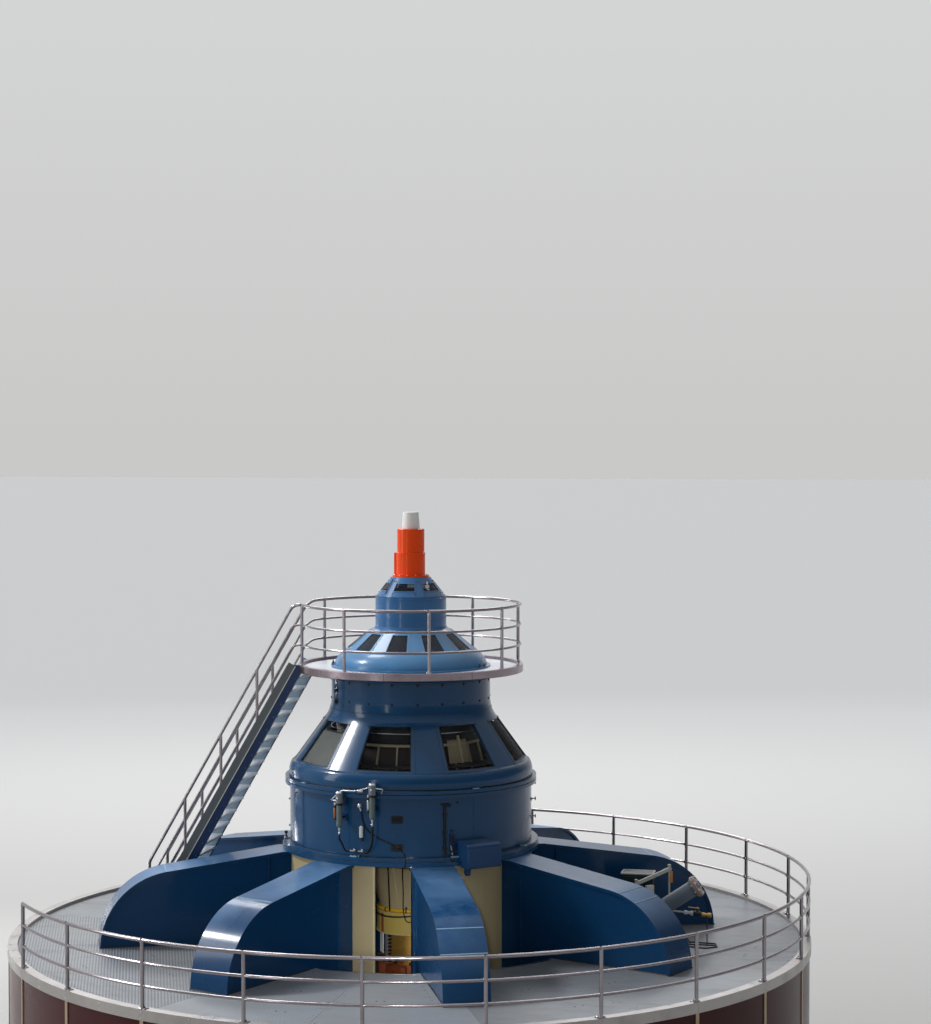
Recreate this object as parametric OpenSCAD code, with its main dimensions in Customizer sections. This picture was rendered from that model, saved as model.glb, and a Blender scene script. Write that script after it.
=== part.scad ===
// Vertical-shaft hydroelectric generator, from the hall floor up to the marker on its top cover.
// Origin: the shaft axis where it meets the floor. +Z is up. The stair leaves along -X.
// Levels named *_z are heights above the rim of the drum, as they are measured from the deck.

/* [Drum] */
// Height of the drum's rim above the floor
drum_h = 3660; // [3200:10:4200]
// Outer radius of the wall panels
drum_r = 6070; // [5800:10:6400]
// Thickness of the wall panels
panel_t = 40; // [20:5:80]
// Number of wall panels, and of the battens that cover their joints
panel_count = 24; // [16:4:32]
// Width of a batten
batten_w = 64; // [40:2:100]
// Thickness of a batten and of the foot strip
batten_t = 14; // [6:1:25]
// Radial width of the dark kerb at the foot
kerb_w = 180; // [100:10:260]
// Height of the kerb
kerb_h = 130; // [80:5:200]
// Height of the metal strip above the kerb
foot_strip_h = 70; // [40:5:120]

/* [Rim and deck] */
// Height of the metal band round the rim
rim_band_h = 150; // [100:5:220]
// Thickness of the metal band
rim_band_t = 26; // [12:1:40]
// Height of the kerb that the rim makes round the deck
curb_h = 50; // [20:5:100]
// Width of the rim's top ledge
curb_w = 146; // [110:2:200]
// Thickness of the deck plates
deck_t = 20; // [10:1:40]
// Open joint between two deck plates
deck_joint = 4; // [2:0.5:8]
// Radius of the well in the middle of the deck
well_r = 2790; // [2600:10:3000]
// Depth of the well below the rim
well_depth = 800; // [600:10:1000]
// Width of the angle that edges the well
well_edge_w = 24; // [10:1:40]

/* [Bracket arms] */
// Number of bracket arms
arm_count = 8; // [6:1:8]
// Width of an arm's top flange
arm_w = 660; // [560:10:760]
// How far the flange stands past the webs
arm_lip = 30; // [10:1:50]
// Thickness of flange and webs
arm_t = 40; // [25:1:60]
// Level of the flange at its inner end
arm_top_z = 1310; // [1200:10:1400]
// How far the flange stays level past the housing that stands on it
arm_seat = 55; // [25:5:200]
// Fall of the flange towards the bend
arm_slope = 8; // [5:0.5:11]
// Distance from the outer end of an arm to the wall of the drum
arm_end_gap = 1330; // [1200:10:1450]
// Radius of the bend at the outer end
arm_bend_r = 1150; // [1000:10:1200]
// Distance of the outer stiffener ribs from the start of the slope
arm_rib_gap = 190; // [100:10:450]

/* [Collar] */
// How far the cream wall between the arms stands back from the housing's foot flange
collar_back = 65; // [25:5:110]
// Thickness of the cream wall
collar_t = 36; // [20:2:60]
// Width of an access opening, as an angle
access_angle = 16.5; // [8:0.5:18]
// How far an opening reaches back past the middle of its bay, as an angle
access_past = 2.7; // [0:0.1:4]

/* [Slip rings] */
// Radius of the collector rings
ring_r = 400; // [340:5:460]
// Level of the foot of the collector rings
ring_z = -470; // [-520:5:-420]
// Height of the stack of collector rings
ring_h = 470; // [400:5:540]
// Radius of the cream shroud above the rings
shroud_r = 530; // [480:5:600]
// Height of the shroud
shroud_h = 340; // [280:5:400]
// Radius of the brush gear's carrier over its blocks
brush_r = 520; // [480:5:600]
// Depth of a brush block
brush_block_d = 115; // [90:5:150]
// Width of a brush block
brush_block_w = 70; // [50:2:90]
// Diameter of the yellow ring pipe
ring_pipe_d = 60; // [40:2:90]
// Radius of the shaft hood where it meets the housing
hood_top_r = 760; // [600:10:900]

/* [Main housing] */
// Radius of the main cylinder
body_r = 1850; // [1800:5:1900]
// How far the bottom flange stands out from the main cylinder
foot_flange_lip = 115; // [90:5:160]
// Thickness of each of the two bottom flange rings
foot_flange_t = 60; // [40:2:80]
// Level of the top of the main cylinder
body_top_z = 2300; // [2200:10:2400]
// How far the shoulder flange stands out from the main cylinder
shoulder_lip = 74; // [40:2:110]
// Thickness of the shoulder flange's two rings together
shoulder_t = 110; // [80:5:140]
// How far the foot of the window cone stands back from the main cylinder
cone_foot_back = 70; // [50:5:140]
// Level of the foot of the window cone
cone_foot_z = 2650; // [2600:5:2700]
// Radius of the window cone at its top
cone_top_r = 1305; // [1260:5:1400]
// Level of the top of the window cone
cone_top_z = 3305; // [3250:5:3350]
// Wall thickness of the window cone
cone_t = 45; // [30:1:60]
// Width of a window in the cone, as an angle
cone_window_angle = 27; // [20:0.5:32]
// Margin above and below the windows
cone_window_edge = 28; // [15:1:60]
// Radius of the neck
neck_r = 1215; // [1180:5:1250]
// Level of the underside of the neck
neck_z = 3484; // [3440:2:3500]
// Radius of the ribbed bell behind the windows
bell_r = 1250; // [1100:10:1400]

/* [Platform] */
// Radius of the round platform
platform_r = 1722; // [1690:2:1760]
// Level of the platform's top
platform_z = 4100; // [4060:5:4150]
// Depth of the platform's edge band
platform_t = 80; // [60:5:120]
// Height of the cone that carries the platform
platform_cone_h = 90; // [60:5:120]

/* [Pilot housing] */
// Radius of the pilot housing's foot flange
pilot_flange_r = 1220; // [1180:5:1260]
// Radius of the bulge above the flange
pilot_bulge_r = 1165; // [1120:5:1190]
// Height of the bulge
pilot_bulge_h = 220; // [180:5:260]
// Radius of the pilot cone at its foot
pilot_cone_r = 1000; // [960:5:1060]
// Radius of the pilot cone at its top
pilot_cone_top_r = 655; // [620:5:700]
// Height of the pilot cone
pilot_cone_h = 285; // [250:5:320]
// Width of a window in the pilot cone, as an angle
pilot_window_angle = 19; // [14:0.5:24]
// Margin above and below the windows in the pilot cone
pilot_window_edge = 26; // [16:1:50]
// Radius of the pilot cylinder
pilot_r = 543; // [500:1:590]
// Level of the top of the pilot cylinder
pilot_top_z = 5115; // [5050:5:5180]
// Radius of the cap cone at its foot
cap_r = 530; // [500:1:543]
// Radius of the cap cone at its top
cap_top_r = 300; // [285:1:340]
// Height of the cap cone
cap_h = 290; // [260:2:330]
// Width of a window in the cap cone, as an angle
cap_window_angle = 42; // [34:0.5:48]
// Margin above and below the windows in the cap cone
cap_window_edge = 92; // [70:1:105]
// Thickness of the two small cones
small_cone_t = 25; // [15:1:40]
// Radius of the orange cover's flange
cover_flange_r = 280; // [262:1:300]
// Radius of the lower part of the orange cover
cover_r = 220; // [200:1:240]
// Radius of the upper part of the orange cover
cover_top_r = 209; // [190:1:220]
// Height of the lower part of the orange cover
cover_low_h = 336; // [280:2:380]
// Height of the upper part of the orange cover
cover_top_h = 364; // [300:2:420]
// Radius of the white marker at its foot
marker_r = 138; // [110:1:160]
// Height of the white marker
marker_h = 260; // [200:5:320]

/* [Handrails] */
// Outer diameter of the deck handrail's top rail
deck_rail_d = 52; // [42:1:60]
// Outer diameter of the deck handrail's lower rails
deck_lower_d = 42; // [32:1:48]
// Outer diameter of the top rails on the platform and the stair
rail_d = 46; // [38:1:52]
// Outer diameter of the lower rails on the platform and the stair
lower_rail_d = 35; // [28:1:42]
// Height of the top rail's centre
rail_h = 914; // [860:2:1060]
// How far the centre line of the deck handrail stands in from the face of the drum's wall
deck_rail_in = 8; // [5:1:50]
// First post of the deck handrail, as an angle
deck_rail_start = -142.5; // [-172.5:15:-112.5]
// Number of bays in the deck handrail
deck_bays = 17; // [12:1:20]
// How far the centre line of the platform handrail stands in from the platform's edge
platform_rail_in = 44; // [32:1:80]

/* [Stair] */
// Slope of the stair
stair_angle = 60; // [56:0.5:64]
// Distance between the two rail planes
stair_w = 820; // [740:5:900]
// How far the stair's middle lies off the axis, towards the front
stair_shift = 232; // [180:2:240]
// Depth of the stringers
stringer_d = 250; // [200:5:300]
// Thickness of the stringers
stringer_t = 60; // [30:2:70]
// Height of one step
step_rise = 197.6; // [190:0.1:215]
// Depth of a tread
tread_d = 230; // [200:5:260]
// Thickness of a tread
tread_t = 30; // [20:1:45]
// Spacing of the stair posts, measured level
stair_post_gap = 580; // [480:5:640]

/* [Fittings] */
// Width of the junction box
box_w = 570; // [480:5:640]
// Height of the junction box
box_h = 370; // [320:5:420]
// Depth of the junction box, past the main cylinder
box_d = 330; // [280:5:360]
// Direction of the junction box
box_angle = -47; // [-52:0.5:-40]
// Diameter of an air filter's bowl
filter_d = 84; // [70:1:110]
// Height of an air filter's bowl
filter_h = 358; // [300:2:400]
// Height of an air filter's head
filter_head_h = 176; // [120:2:200]
// Diameter of the flanged pipe between the right-hand arms
drain_d = 240; // [200:2:270]
// Distance of the pipe's foot from the wall of the drum
drain_back = 2720; // [2640:10:2800]
// Slope of the pipe
drain_slope = 34; // [28:1:40]
// Length of the pipe's sloping stretch
drain_length = 1130; // [900:10:1200]
// How far the foot flange of the pipe stands out from it
drain_foot_lip = 55; // [40:1:70]
// How far the blind flange stands out from the pipe
drain_end_lip = 45; // [30:1:60]
// Thickness of a pipe flange
drain_flange_t = 24; // [16:1:32]
// Width of the control box behind the pipe
cabinet_w = 480; // [420:5:560]
// Height of the control box
cabinet_h = 960; // [800:10:1040]
// Depth of the control box
cabinet_d = 300; // [240:5:360]
// Distance of the control box from the wall of the drum
cabinet_back = 2390; // [2300:10:2480]
// Gap between the control box and the pipe
cabinet_gap = 300; // [260:5:340]

/* [Hidden] */
$fn = 360;
// Sides of a rail's or pipe's round section
pipe_fn = 24;
// Small clearance between pieces that would otherwise only meet in a curved face
seat = 0.3;
over = 1;
// How far a tube enters a bend fitting, and how much wider the fitting is
fitting_in = 15;
fitting_wider = 3;
panel_step = 360 / panel_count;
panel_turn = panel_step / 2;
arm_step = 360 / arm_count;
arm_turn = arm_step / 2;

rim_z = drum_h;
deck_z = rim_z - curb_h;
well_z = rim_z - well_depth;
rim_r = drum_r + rim_band_t;
deck_r = rim_r - curb_w;
frame_r = drum_r - panel_t;
deck_rail_r = drum_r - deck_rail_in;
platform_rail_r = platform_r - platform_rail_in;
wall_top = rim_z - curb_h - deck_t;
sector_count = 16;
sector_joint = 2;
pilot_windows = 10;
cap_windows = 6;

foot_flange_r = body_r + foot_flange_lip;
shoulder_r = body_r + shoulder_lip;
cone_foot_r = body_r - cone_foot_back;
collar_r = foot_flange_r - collar_back;
arm_flat_r = foot_flange_r + arm_seat;
arm_rib_r = arm_flat_r + arm_rib_gap;
arm_end_r = drum_r - arm_end_gap;

arm_z = rim_z + arm_top_z;
web_w = arm_w - 2 * arm_lip;
arm_drop = (arm_end_r - arm_bend_r * (1 - sin(arm_slope)) - arm_flat_r) * tan(arm_slope);
bend_in = [arm_end_r - arm_bend_r * (1 - sin(arm_slope)), arm_z - arm_drop];
bend_c = [arm_end_r - arm_bend_r, bend_in[1] - arm_bend_r * cos(arm_slope)];
arm_inner_r = collar_r - collar_t;

body_z = arm_z + 2 * foot_flange_t;
shoulder_z = rim_z + body_top_z;
crown_z = shoulder_z + shoulder_t;
cone_z = rim_z + cone_foot_z;
cone_end_z = rim_z + cone_top_z;
neck_foot_z = rim_z + neck_z;
plat_z = rim_z + platform_z;
plat_low_z = plat_z - platform_t;
neck_top_z = plat_low_z - platform_cone_h;

pilot_flange_t = 24;
bulge_z = plat_z + pilot_flange_t;
pilot_cone_z = plat_z + pilot_bulge_h;
pilot_cone_end_z = pilot_cone_z + pilot_cone_h;
pilot_foot_z = pilot_cone_end_z + 18;
pilot_end_z = rim_z + pilot_top_z;
cap_foot_z = pilot_end_z + 22;
cap_end_z = cap_foot_z + cap_h;
cover_flange_t = 30;
cover_z = cap_end_z + cover_flange_t;
cover_split_z = cover_z + cover_low_h;
cover_end_z = cover_split_z + cover_top_h;

rail_levels = [rail_h / 3, rail_h * 2 / 3, rail_h];
// How much wider a post is than its top rail, so that the rail enters it
post_wider = 2;
post_d = rail_d + post_wider;
deck_step = 15;
front_bays = 6;
right_bays = 6;
platform_bays = arm_count - 1;
rail_bend_r = 160;
end_post = 4;
end_turn = 90 - stair_angle;
end_cut = rail_bend_r * tan(end_turn / 2);

near_y = -stair_shift - stair_w / 2;
far_y = -stair_shift + stair_w / 2;
gap_post_x = -sqrt(pow(platform_rail_r, 2) - pow(near_y, 2));
nose_x = -platform_r + 36;
nose_drop = (plat_z - deck_z) / tan(stair_angle);
foot_x = nose_x - nose_drop;
step_count = floor((plat_z - deck_z) / step_rise - 0.5);
stringer_up = 155;
crown_seat = 300;
neck_seat = 200;
glass_t = 8;
glass_inset = 14;
// Direction and level of the foot of each air filter
filter_places = [[-108.3, 1853], [-93, 2001]];
drain_r = drum_r - drain_back;

// A ring with a rectangular section, between two radii and two heights
module ring(r_in, r_out, z_low, z_high) {
    translate([0, 0, z_low])
        difference() {
            cylinder(r = r_out, h = z_high - z_low);
            translate([0, 0, -over]) cylinder(r = r_in, h = z_high - z_low + 2 * over);
        }
}

// A wedge from the axis outwards, from one angle to the other
module wedge(a0, a1, r, z_low, z_high) {
    reach = r / cos((a1 - a0) / 2) + over;
    translate([0, 0, z_low])
        linear_extrude(z_high - z_low)
            polygon([[0, 0], [reach * cos(a0), reach * sin(a0)], [reach * cos(a1), reach * sin(a1)]]);
}

// Equal sectors of a ring, with an open joint between neighbours
module ring_sectors(count, turn, joint, r_in, r_out, z_low, z_high) {
    for (i = [0 : count - 1])
        rotate([0, 0, turn + i * 360 / count])
            sector(360 / count, joint, r_in, r_out, z_low, z_high);
}

// One sector of a ring, its joint faces parallel to the joint lines
module sector(angle, joint, r_in, r_out, z_low, z_high) {
    translate([0, 0, z_low])
        difference() {
            rotate_extrude(angle = angle) translate([r_in, 0]) square([r_out - r_in, z_high - z_low]);
            translate([0, -joint / 2, -over]) cube([r_out + over, joint, z_high - z_low + 2 * over]);
            rotate([0, 0, angle]) translate([0, -joint / 2, -over])
                cube([r_out + over, joint, z_high - z_low + 2 * over]);
        }
}

// A tube that starts at the origin along +X and bends in the XZ plane.
// Each step is [length, turn]: straight on, then a bend down by turn, or up where it is negative.
module tube_run(steps, d, bend, i = 0) {
    if (i < len(steps)) {
        length = steps[i][0];
        turn = steps[i][1];
        side = turn < 0 ? 1 : -1;
        lead = i == 0 ? 0 : fitting_in;
        tail = turn == 0 ? 0 : fitting_in;
        translate([-lead, 0, 0])
            rotate([0, 90, 0]) cylinder(d = d, h = length + lead + tail, $fn = pipe_fn);
        translate([length, 0, 0]) {
            if (turn != 0)
                translate([0, 0, side * bend])
                    rotate([90, 0, 0])
                        rotate([0, 0, turn < 0 ? -90 : 90 - turn])
                            rotate_extrude(angle = abs(turn))
                                translate([bend, 0]) circle(d = d + fitting_wider, $fn = pipe_fn);
            translate([0, 0, side * bend])
                rotate([0, turn, 0])
                    translate([0, 0, -side * bend])
                        tube_run(steps, d, bend, i + 1);
        }
    }
}

// A round bar between two points
module stick(a, b, d) {
    v = b - a;
    translate(a)
        rotate([0, acos(v[2] / norm(v)), atan2(v[1], v[0])])
            cylinder(d = d, h = norm(v), $fn = pipe_fn);
}

// A pipe bent by hand through points, with a ball a little wider than the pipe at each
module bent_pipe(points, d) {
    for (p = points) translate(p) sphere(d = d + 1, $fn = pipe_fn);
    for (i = [1 : len(points) - 1]) stick(points[i - 1], points[i], d);
}

// Point of a smooth curve between p[0] and p[3], led by p[1] and p[2]
function curve(p, t) =
    pow(1 - t, 3) * p[0] + 3 * pow(1 - t, 2) * t * p[1] + 3 * (1 - t) * t * t * p[2] + pow(t, 3) * p[3];

// Dark kerb at the foot of the drum
module kerb() {
    color("#17181b")
        ring_sectors(8, 0, sector_joint, drum_r, drum_r + kerb_w, 0, kerb_h);
}

// Painted wall panels, joined behind the battens
module drum_panels() {
    color("#4a1418")
        ring_sectors(panel_count, panel_turn, sector_joint, frame_r, drum_r, 0, wall_top);
}

// Vertical battens over the panel joints
module battens() {
    color("#b59a6c")
        intersection() {
            ring(drum_r, drum_r + batten_t, kerb_h + foot_strip_h, rim_z - rim_band_h);
            for (i = [0 : panel_count - 1])
                rotate([0, 0, panel_turn + i * panel_step])
                    translate([0, -batten_w / 2, 0]) cube([drum_r + kerb_w, batten_w, rim_z]);
        }
}

// Metal strip above the kerb
module foot_strip() {
    color("#9c7f52")
        ring(drum_r, drum_r + batten_t, kerb_h, kerb_h + foot_strip_h);
}

// Rim: an outer band and a ledge that stands above the deck, in lengths between the posts
module rim_band() {
    color("#b9bcc0")
        for (i = [0 : panel_count - 1])
            rotate([0, 0, panel_turn + i * panel_step])
                union() {
                    sector(panel_step, sector_joint, deck_r, rim_r, deck_z, rim_z);
                    sector(panel_step, sector_joint, drum_r, rim_r, rim_z - rim_band_h, deck_z + over);
                }
}

// Stator frame under the deck, in sectors
module stator_frame() {
    color("#5c6066")
        ring_sectors(sector_count, 0, sector_joint, well_r, frame_r, 0, wall_top);
}

// Floor of the well
module well_floor() {
    color("#6d6f70") cylinder(r = well_r, h = well_z);
}

// Steel angle round the edge of the well
module well_edge() {
    color("#8d9296")
        difference() {
            ring(well_r - well_edge_w, well_r, well_z, deck_z);
            arm_slots();
        }
}

// Deck plates, laid as sectors with open joints
module deck_plates() {
    color("#c3c6c8")
        ring_sectors(sector_count, 0, deck_joint, well_r, drum_r, wall_top, deck_z);
}

// One bay of a round handrail: a post and three rails that run up to the next post
module rail_bay(r, angle, foot, top_d, lower_d) {
    difference() {
        union() {
            for (h = rail_levels)
                translate([0, 0, foot + h])
                    rotate_extrude(angle = angle)
                        translate([r, 0]) circle(d = h == rail_h ? top_d : lower_d, $fn = pipe_fn);
            rail_post(r, foot, top_d);
        }
        rotate([0, 0, angle])
            translate([r, 0, foot - over])
                cylinder(d = top_d + post_wider + 2 * seat, h = rail_h * 2, $fn = pipe_fn);
    }
}

// A post of a round handrail, a little higher than the middle of its top rail
module rail_post(r, foot, top_d) {
    translate([r, 0, foot]) cylinder(d = top_d + post_wider, h = rail_h + top_d / 4, $fn = pipe_fn);
}

// A run of bays of the deck handrail
module deck_rail(first, count) {
    color("#c9ccd2")
        for (i = [first : first + count - 1])
            rotate([0, 0, deck_rail_start + i * deck_step])
                rail_bay(deck_rail_r, deck_step, rim_z, deck_rail_d, deck_lower_d);
}

module deck_rail_front() { deck_rail(0, front_bays); }
module deck_rail_right() { deck_rail(front_bays, right_bays); }
module deck_rail_back() {
    deck_rail(front_bays + right_bays, deck_bays - front_bays - right_bays);
    color("#c9ccd2")
        rotate([0, 0, deck_rail_start + deck_bays * deck_step])
            rail_post(deck_rail_r, rim_z, deck_rail_d);
}

// Space that the arms take up, cut out of what stands between them
module arm_slots() {
    for (i = [0 : arm_count - 1])
        rotate([0, 0, arm_turn + i * arm_step])
            translate([0, -web_w / 2, 0]) cube([arm_end_r, web_w, arm_z]);
}

// Side view of an arm below its outline, with the outline moved in by inset
module arm_face(inset) {
    bend = arm_bend_r - inset;
    foot_r = well_r - well_edge_w;
    difference() {
        union() {
            polygon([
                [arm_inner_r, well_z],
                [arm_inner_r, arm_z - inset],
                [arm_flat_r - inset * tan(arm_slope / 2), arm_z - inset],
                bend_c + bend * [sin(arm_slope), cos(arm_slope)],
                bend_c,
                bend_c + [bend, 0],
                [bend_c[0] + bend, well_z]
            ]);
            intersection() {
                translate(bend_c) circle(r = bend);
                translate(bend_c) square(bend + over);
            }
        }
        translate([foot_r, well_z - over]) square([arm_end_r, deck_z - well_z + over]);
    }
}

// Flange of an arm, seen from the side: a level seat, a slope and a bend down to the deck
module flange_face() {
    difference() {
        arm_face(0);
        arm_face(arm_t);
    }
}

// Stands a side view up in the plane of an arm, at a distance from its middle
module arm_plate(y, t) {
    translate([0, y + t / 2, 0]) rotate([90, 0, 0]) linear_extrude(t) children();
}

// One bracket arm: flange, two webs, an inner end plate and the outer stiffener ribs
module bracket_arm(index) {
    rib_top = arm_z - arm_t - (arm_rib_r - arm_flat_r) * tan(arm_slope) - 12;
    color("#2b4d70")
        rotate([0, 0, arm_turn + (index - 1) * arm_step])
            difference() {
                union() {
                    arm_plate(0, arm_w) flange_face();
                    for (side = [-1, 1]) {
                        arm_plate(side * (web_w - arm_t) / 2, arm_t) arm_face(arm_t - over);
                        translate([arm_rib_r, side * web_w / 2 - (side < 0 ? arm_lip : over), well_z])
                            cube([arm_t / 2, arm_lip + over, rib_top - well_z]);
                    }
                    translate([arm_inner_r, -web_w / 2 + over, well_z])
                        cube([collar_t * 2, web_w - 2 * over, arm_z - arm_t / 2 - well_z]);
                }
                translate([0, 0, well_z - over]) cylinder(r = arm_inner_r, h = arm_z);
            }
}

// Cream wall between the arms: whole panels and, every second bay, a panel with an opening beside it
module collar_wall() {
    color("#b3a57c")
        difference() {
            ring(collar_r - collar_t, collar_r, well_z, arm_z);
            arm_slots();
            for (i = [0 : 3])
                rotate([0, 0, -90 + i * 90])
                    wedge(-access_past, access_angle - access_past, collar_r + over,
                          well_z - over, arm_z + over);
        }
}

// Carrier of the brushes on the floor of the well
module brush_gear() {
    drum = brush_r - brush_block_d + 20;
    height = rim_z + ring_z - well_z;
    color("#5b3022") {
        translate([0, 0, well_z]) cylinder(r = drum, h = height);
        for (i = [0 : 11])
            rotate([0, 0, i * 30])
                translate([brush_r - brush_block_d, -brush_block_w / 2, well_z])
                    cube([brush_block_d, brush_block_w, height - 20]);
    }
}

// Stack of collector rings
module collector_rings() {
    groove = 14;
    pitch = ring_h / 8;
    color("#a88648")
        translate([0, 0, rim_z + ring_z])
            difference() {
                cylinder(r = ring_r, h = ring_h);
                for (i = [1 : 7])
                    translate([0, 0, i * pitch - groove / 2]) ring(ring_r - 12, ring_r + over, 0, groove);
            }
}

// Cream shroud above the rings
module ring_shroud() {
    color("#c2b27a")
        translate([0, 0, rim_z + ring_z + ring_h]) cylinder(r = shroud_r, h = shroud_h);
}

// Yellow pipe that rings the shroud's top
module ring_pipe() {
    color("#c7a62f")
        translate([0, 0, rim_z + ring_z + ring_h + shroud_h + ring_pipe_d / 2])
            rotate_extrude() translate([shroud_r - ring_pipe_d / 2, 0]) circle(d = ring_pipe_d);
}

// Hood round the shaft, from the shroud up to the housing
module shaft_hood() {
    foot = rim_z + ring_z + ring_h + shroud_h;
    color("#b8ab86")
        translate([0, 0, foot])
            cylinder(r1 = shroud_r - ring_pipe_d - 10, r2 = hood_top_r, h = arm_z - foot);
}

// Two bolted flange rings that close the housing's foot
module foot_flange() {
    color("#243f5e") {
        translate([0, 0, arm_z]) cylinder(r = foot_flange_r, h = foot_flange_t);
        translate([0, 0, arm_z + foot_flange_t]) cylinder(r = foot_flange_r - 16, h = foot_flange_t);
    }
}

// Main cylinder
module main_cylinder() {
    color("#2b4d70") translate([0, 0, body_z]) cylinder(r = body_r, h = shoulder_z - body_z);
}

// Shoulder flange: two rings with a groove between them
module shoulder_flange() {
    half = shoulder_t / 2;
    color("#2f5478")
        translate([0, 0, shoulder_z])
            difference() {
                cylinder(r = shoulder_r, h = shoulder_t);
                translate([0, 0, half - 6]) ring(shoulder_r - 20, shoulder_r + over, 0, 12);
            }
}

// Rounded crown and window cone, as one shell with a flared top
module window_cone() {
    edge = 0.72 * (cone_z - crown_z);
    seat_r = body_r - crown_seat;
    top_r = neck_r - neck_seat;
    crown_r = body_r + 15;
    color("#335a80")
        difference() {
            rotate_extrude()
                difference() {
                    polygon(concat(
                        [[seat_r, crown_z], [crown_r, crown_z]],
                        [for (a = [0 : 10 : 90])
                            [cone_foot_r + (crown_r - cone_foot_r) * cos(a), cone_z - edge + edge * sin(a)]],
                        [[cone_top_r, cone_end_z]],
                        [for (t = [0.25 : 0.25 : 1])
                            [cone_top_r - (cone_top_r - neck_r) * sin(90 * t),
                             cone_end_z + (neck_foot_z - cone_end_z) * (1 - cos(90 * t) * 0.999)]],
                        [[top_r, neck_foot_z]]
                    ));
                    polygon([
                        [seat_r - over, crown_z - over], [seat_r - over, crown_z + cone_t],
                        [cone_foot_r - cone_t * 1.6, cone_z - edge * 0.6],
                        [cone_foot_r - cone_t * 1.25, cone_z], [cone_top_r - cone_t * 1.25, cone_end_z],
                        [top_r + 50, neck_foot_z - cone_t], [top_r - over, neck_foot_z - cone_t]
                    ]);
                }
            cone_windows();
        }
}

// The eight window openings of the cone
module cone_windows() {
    for (i = [0 : 7])
        rotate([0, 0, i * 45])
            wedge(-cone_window_angle / 2, cone_window_angle / 2, cone_foot_r + over,
                  cone_z + cone_window_edge, cone_end_z - cone_window_edge);
}

// A conical shell of even thickness, between two levels
module cone_shell(r_low, r_high, z_low, z_high, t, inset) {
    rotate_extrude()
        polygon([
            [r_low - inset - t, z_low], [r_low - inset, z_low],
            [r_high - inset, z_high], [r_high - inset - t, z_high]
        ]);
}

// Glass of the eight windows
module cone_glass() {
    color([0.35, 0.42, 0.45, 0.5])
        intersection() {
            cone_shell(cone_foot_r, cone_top_r, cone_z, cone_end_z, glass_t, glass_inset);
            cone_windows();
        }
}

// Ribbed bell that shows through the windows
module inner_bell() {
    rib = 26;
    color("#a39a80")
        translate([0, 0, crown_z])
            union() {
                cylinder(r1 = bell_r, r2 = neck_r - 260, h = neck_foot_z - cone_t - crown_z);
                for (i = [0 : 31])
                    rotate([0, 0, i * 11.25])
                        translate([0, -rib / 2, 0])
                            rotate([90, 0, 90])
                                linear_extrude(bell_r + rib)
                                    square([rib, 90]);
            }
}

// Neck with its two bolted seams
module neck() {
    color("#2b4d70")
        translate([0, 0, neck_foot_z])
            difference() {
                cylinder(r = neck_r, h = neck_top_z - neck_foot_z);
                for (z = [0, neck_top_z - neck_foot_z - 60])
                    translate([0, 0, z]) ring(neck_r - 8, neck_r + over, 24, 32);
            }
}

// Round platform on its cone
module platform() {
    color("#c8cacc")
        union() {
            translate([0, 0, plat_low_z]) cylinder(r = platform_r, h = platform_t);
            translate([0, 0, neck_top_z])
                cylinder(r1 = neck_r + 60, r2 = platform_r - 120, h = platform_cone_h);
        }
}

// Platform handrail, with the gap at the stair
module platform_rail() {
    color("#c9ccd2") {
        for (i = [0 : platform_bays - 1])
            rotate([0, 0, 180 + arm_turn + i * arm_step])
                rail_bay(platform_rail_r, arm_step, plat_z, rail_d, lower_rail_d);
        rotate([0, 0, 180 - arm_turn])
            rail_post(platform_rail_r, plat_z, rail_d);
    }
}

// Foot flange and bulge of the pilot housing
module pilot_base() {
    color("#47708f")
        rotate_extrude()
            polygon(concat(
                [[0, plat_z], [pilot_flange_r, plat_z], [pilot_flange_r, bulge_z]],
                [for (a = [0 : 7.5 : 90])
                    [pilot_cone_r + (pilot_bulge_r - pilot_cone_r) * cos(a),
                     bulge_z + (pilot_cone_z - bulge_z) * sin(a)]],
                [[0, pilot_cone_z]]
            ));
}

// Pilot cone, a shell with ten windows
module pilot_cone() {
    color("#4a7595")
        difference() {
            cone_shell(pilot_cone_r, pilot_cone_top_r, pilot_cone_z, pilot_cone_end_z, small_cone_t, 0);
            small_windows(pilot_windows, pilot_window_angle, pilot_cone_r,
                          pilot_cone_z, pilot_cone_end_z, pilot_window_edge);
        }
}

// Window openings of a small cone
module small_windows(count, angle, r, z_low, z_high, edge) {
    for (i = [0 : count - 1])
        rotate([0, 0, (i + 0.5) * 360 / count])
            wedge(-angle / 2, angle / 2, r + over, z_low + edge, z_high - edge);
}

// Glass of the pilot cone, and the dark core behind it
module pilot_glass() {
    core_r = pilot_cone_top_r - 90;
    color([0.2, 0.24, 0.28, 0.6]) {
        intersection() {
            cone_shell(pilot_cone_r, pilot_cone_top_r, pilot_cone_z, pilot_cone_end_z, glass_t, 8);
            small_windows(pilot_windows, pilot_window_angle, pilot_cone_r,
                          pilot_cone_z, pilot_cone_end_z, pilot_window_edge);
        }
        translate([0, 0, pilot_cone_z]) cylinder(r = core_r, h = pilot_cone_h);
    }
}

// Pilot cylinder, with a flared foot and a flange ring on top
module pilot_cylinder() {
    color("#3f688a")
        rotate_extrude()
            polygon([
                [0, pilot_cone_end_z], [pilot_cone_top_r, pilot_cone_end_z],
                [pilot_cone_top_r - 25, pilot_foot_z], [pilot_r + 18, pilot_foot_z + 22],
                [pilot_r, pilot_foot_z + 60], [pilot_r, pilot_end_z],
                [pilot_r - 6, pilot_end_z], [pilot_r - 6, cap_foot_z], [0, cap_foot_z]
            ]);
}

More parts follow.
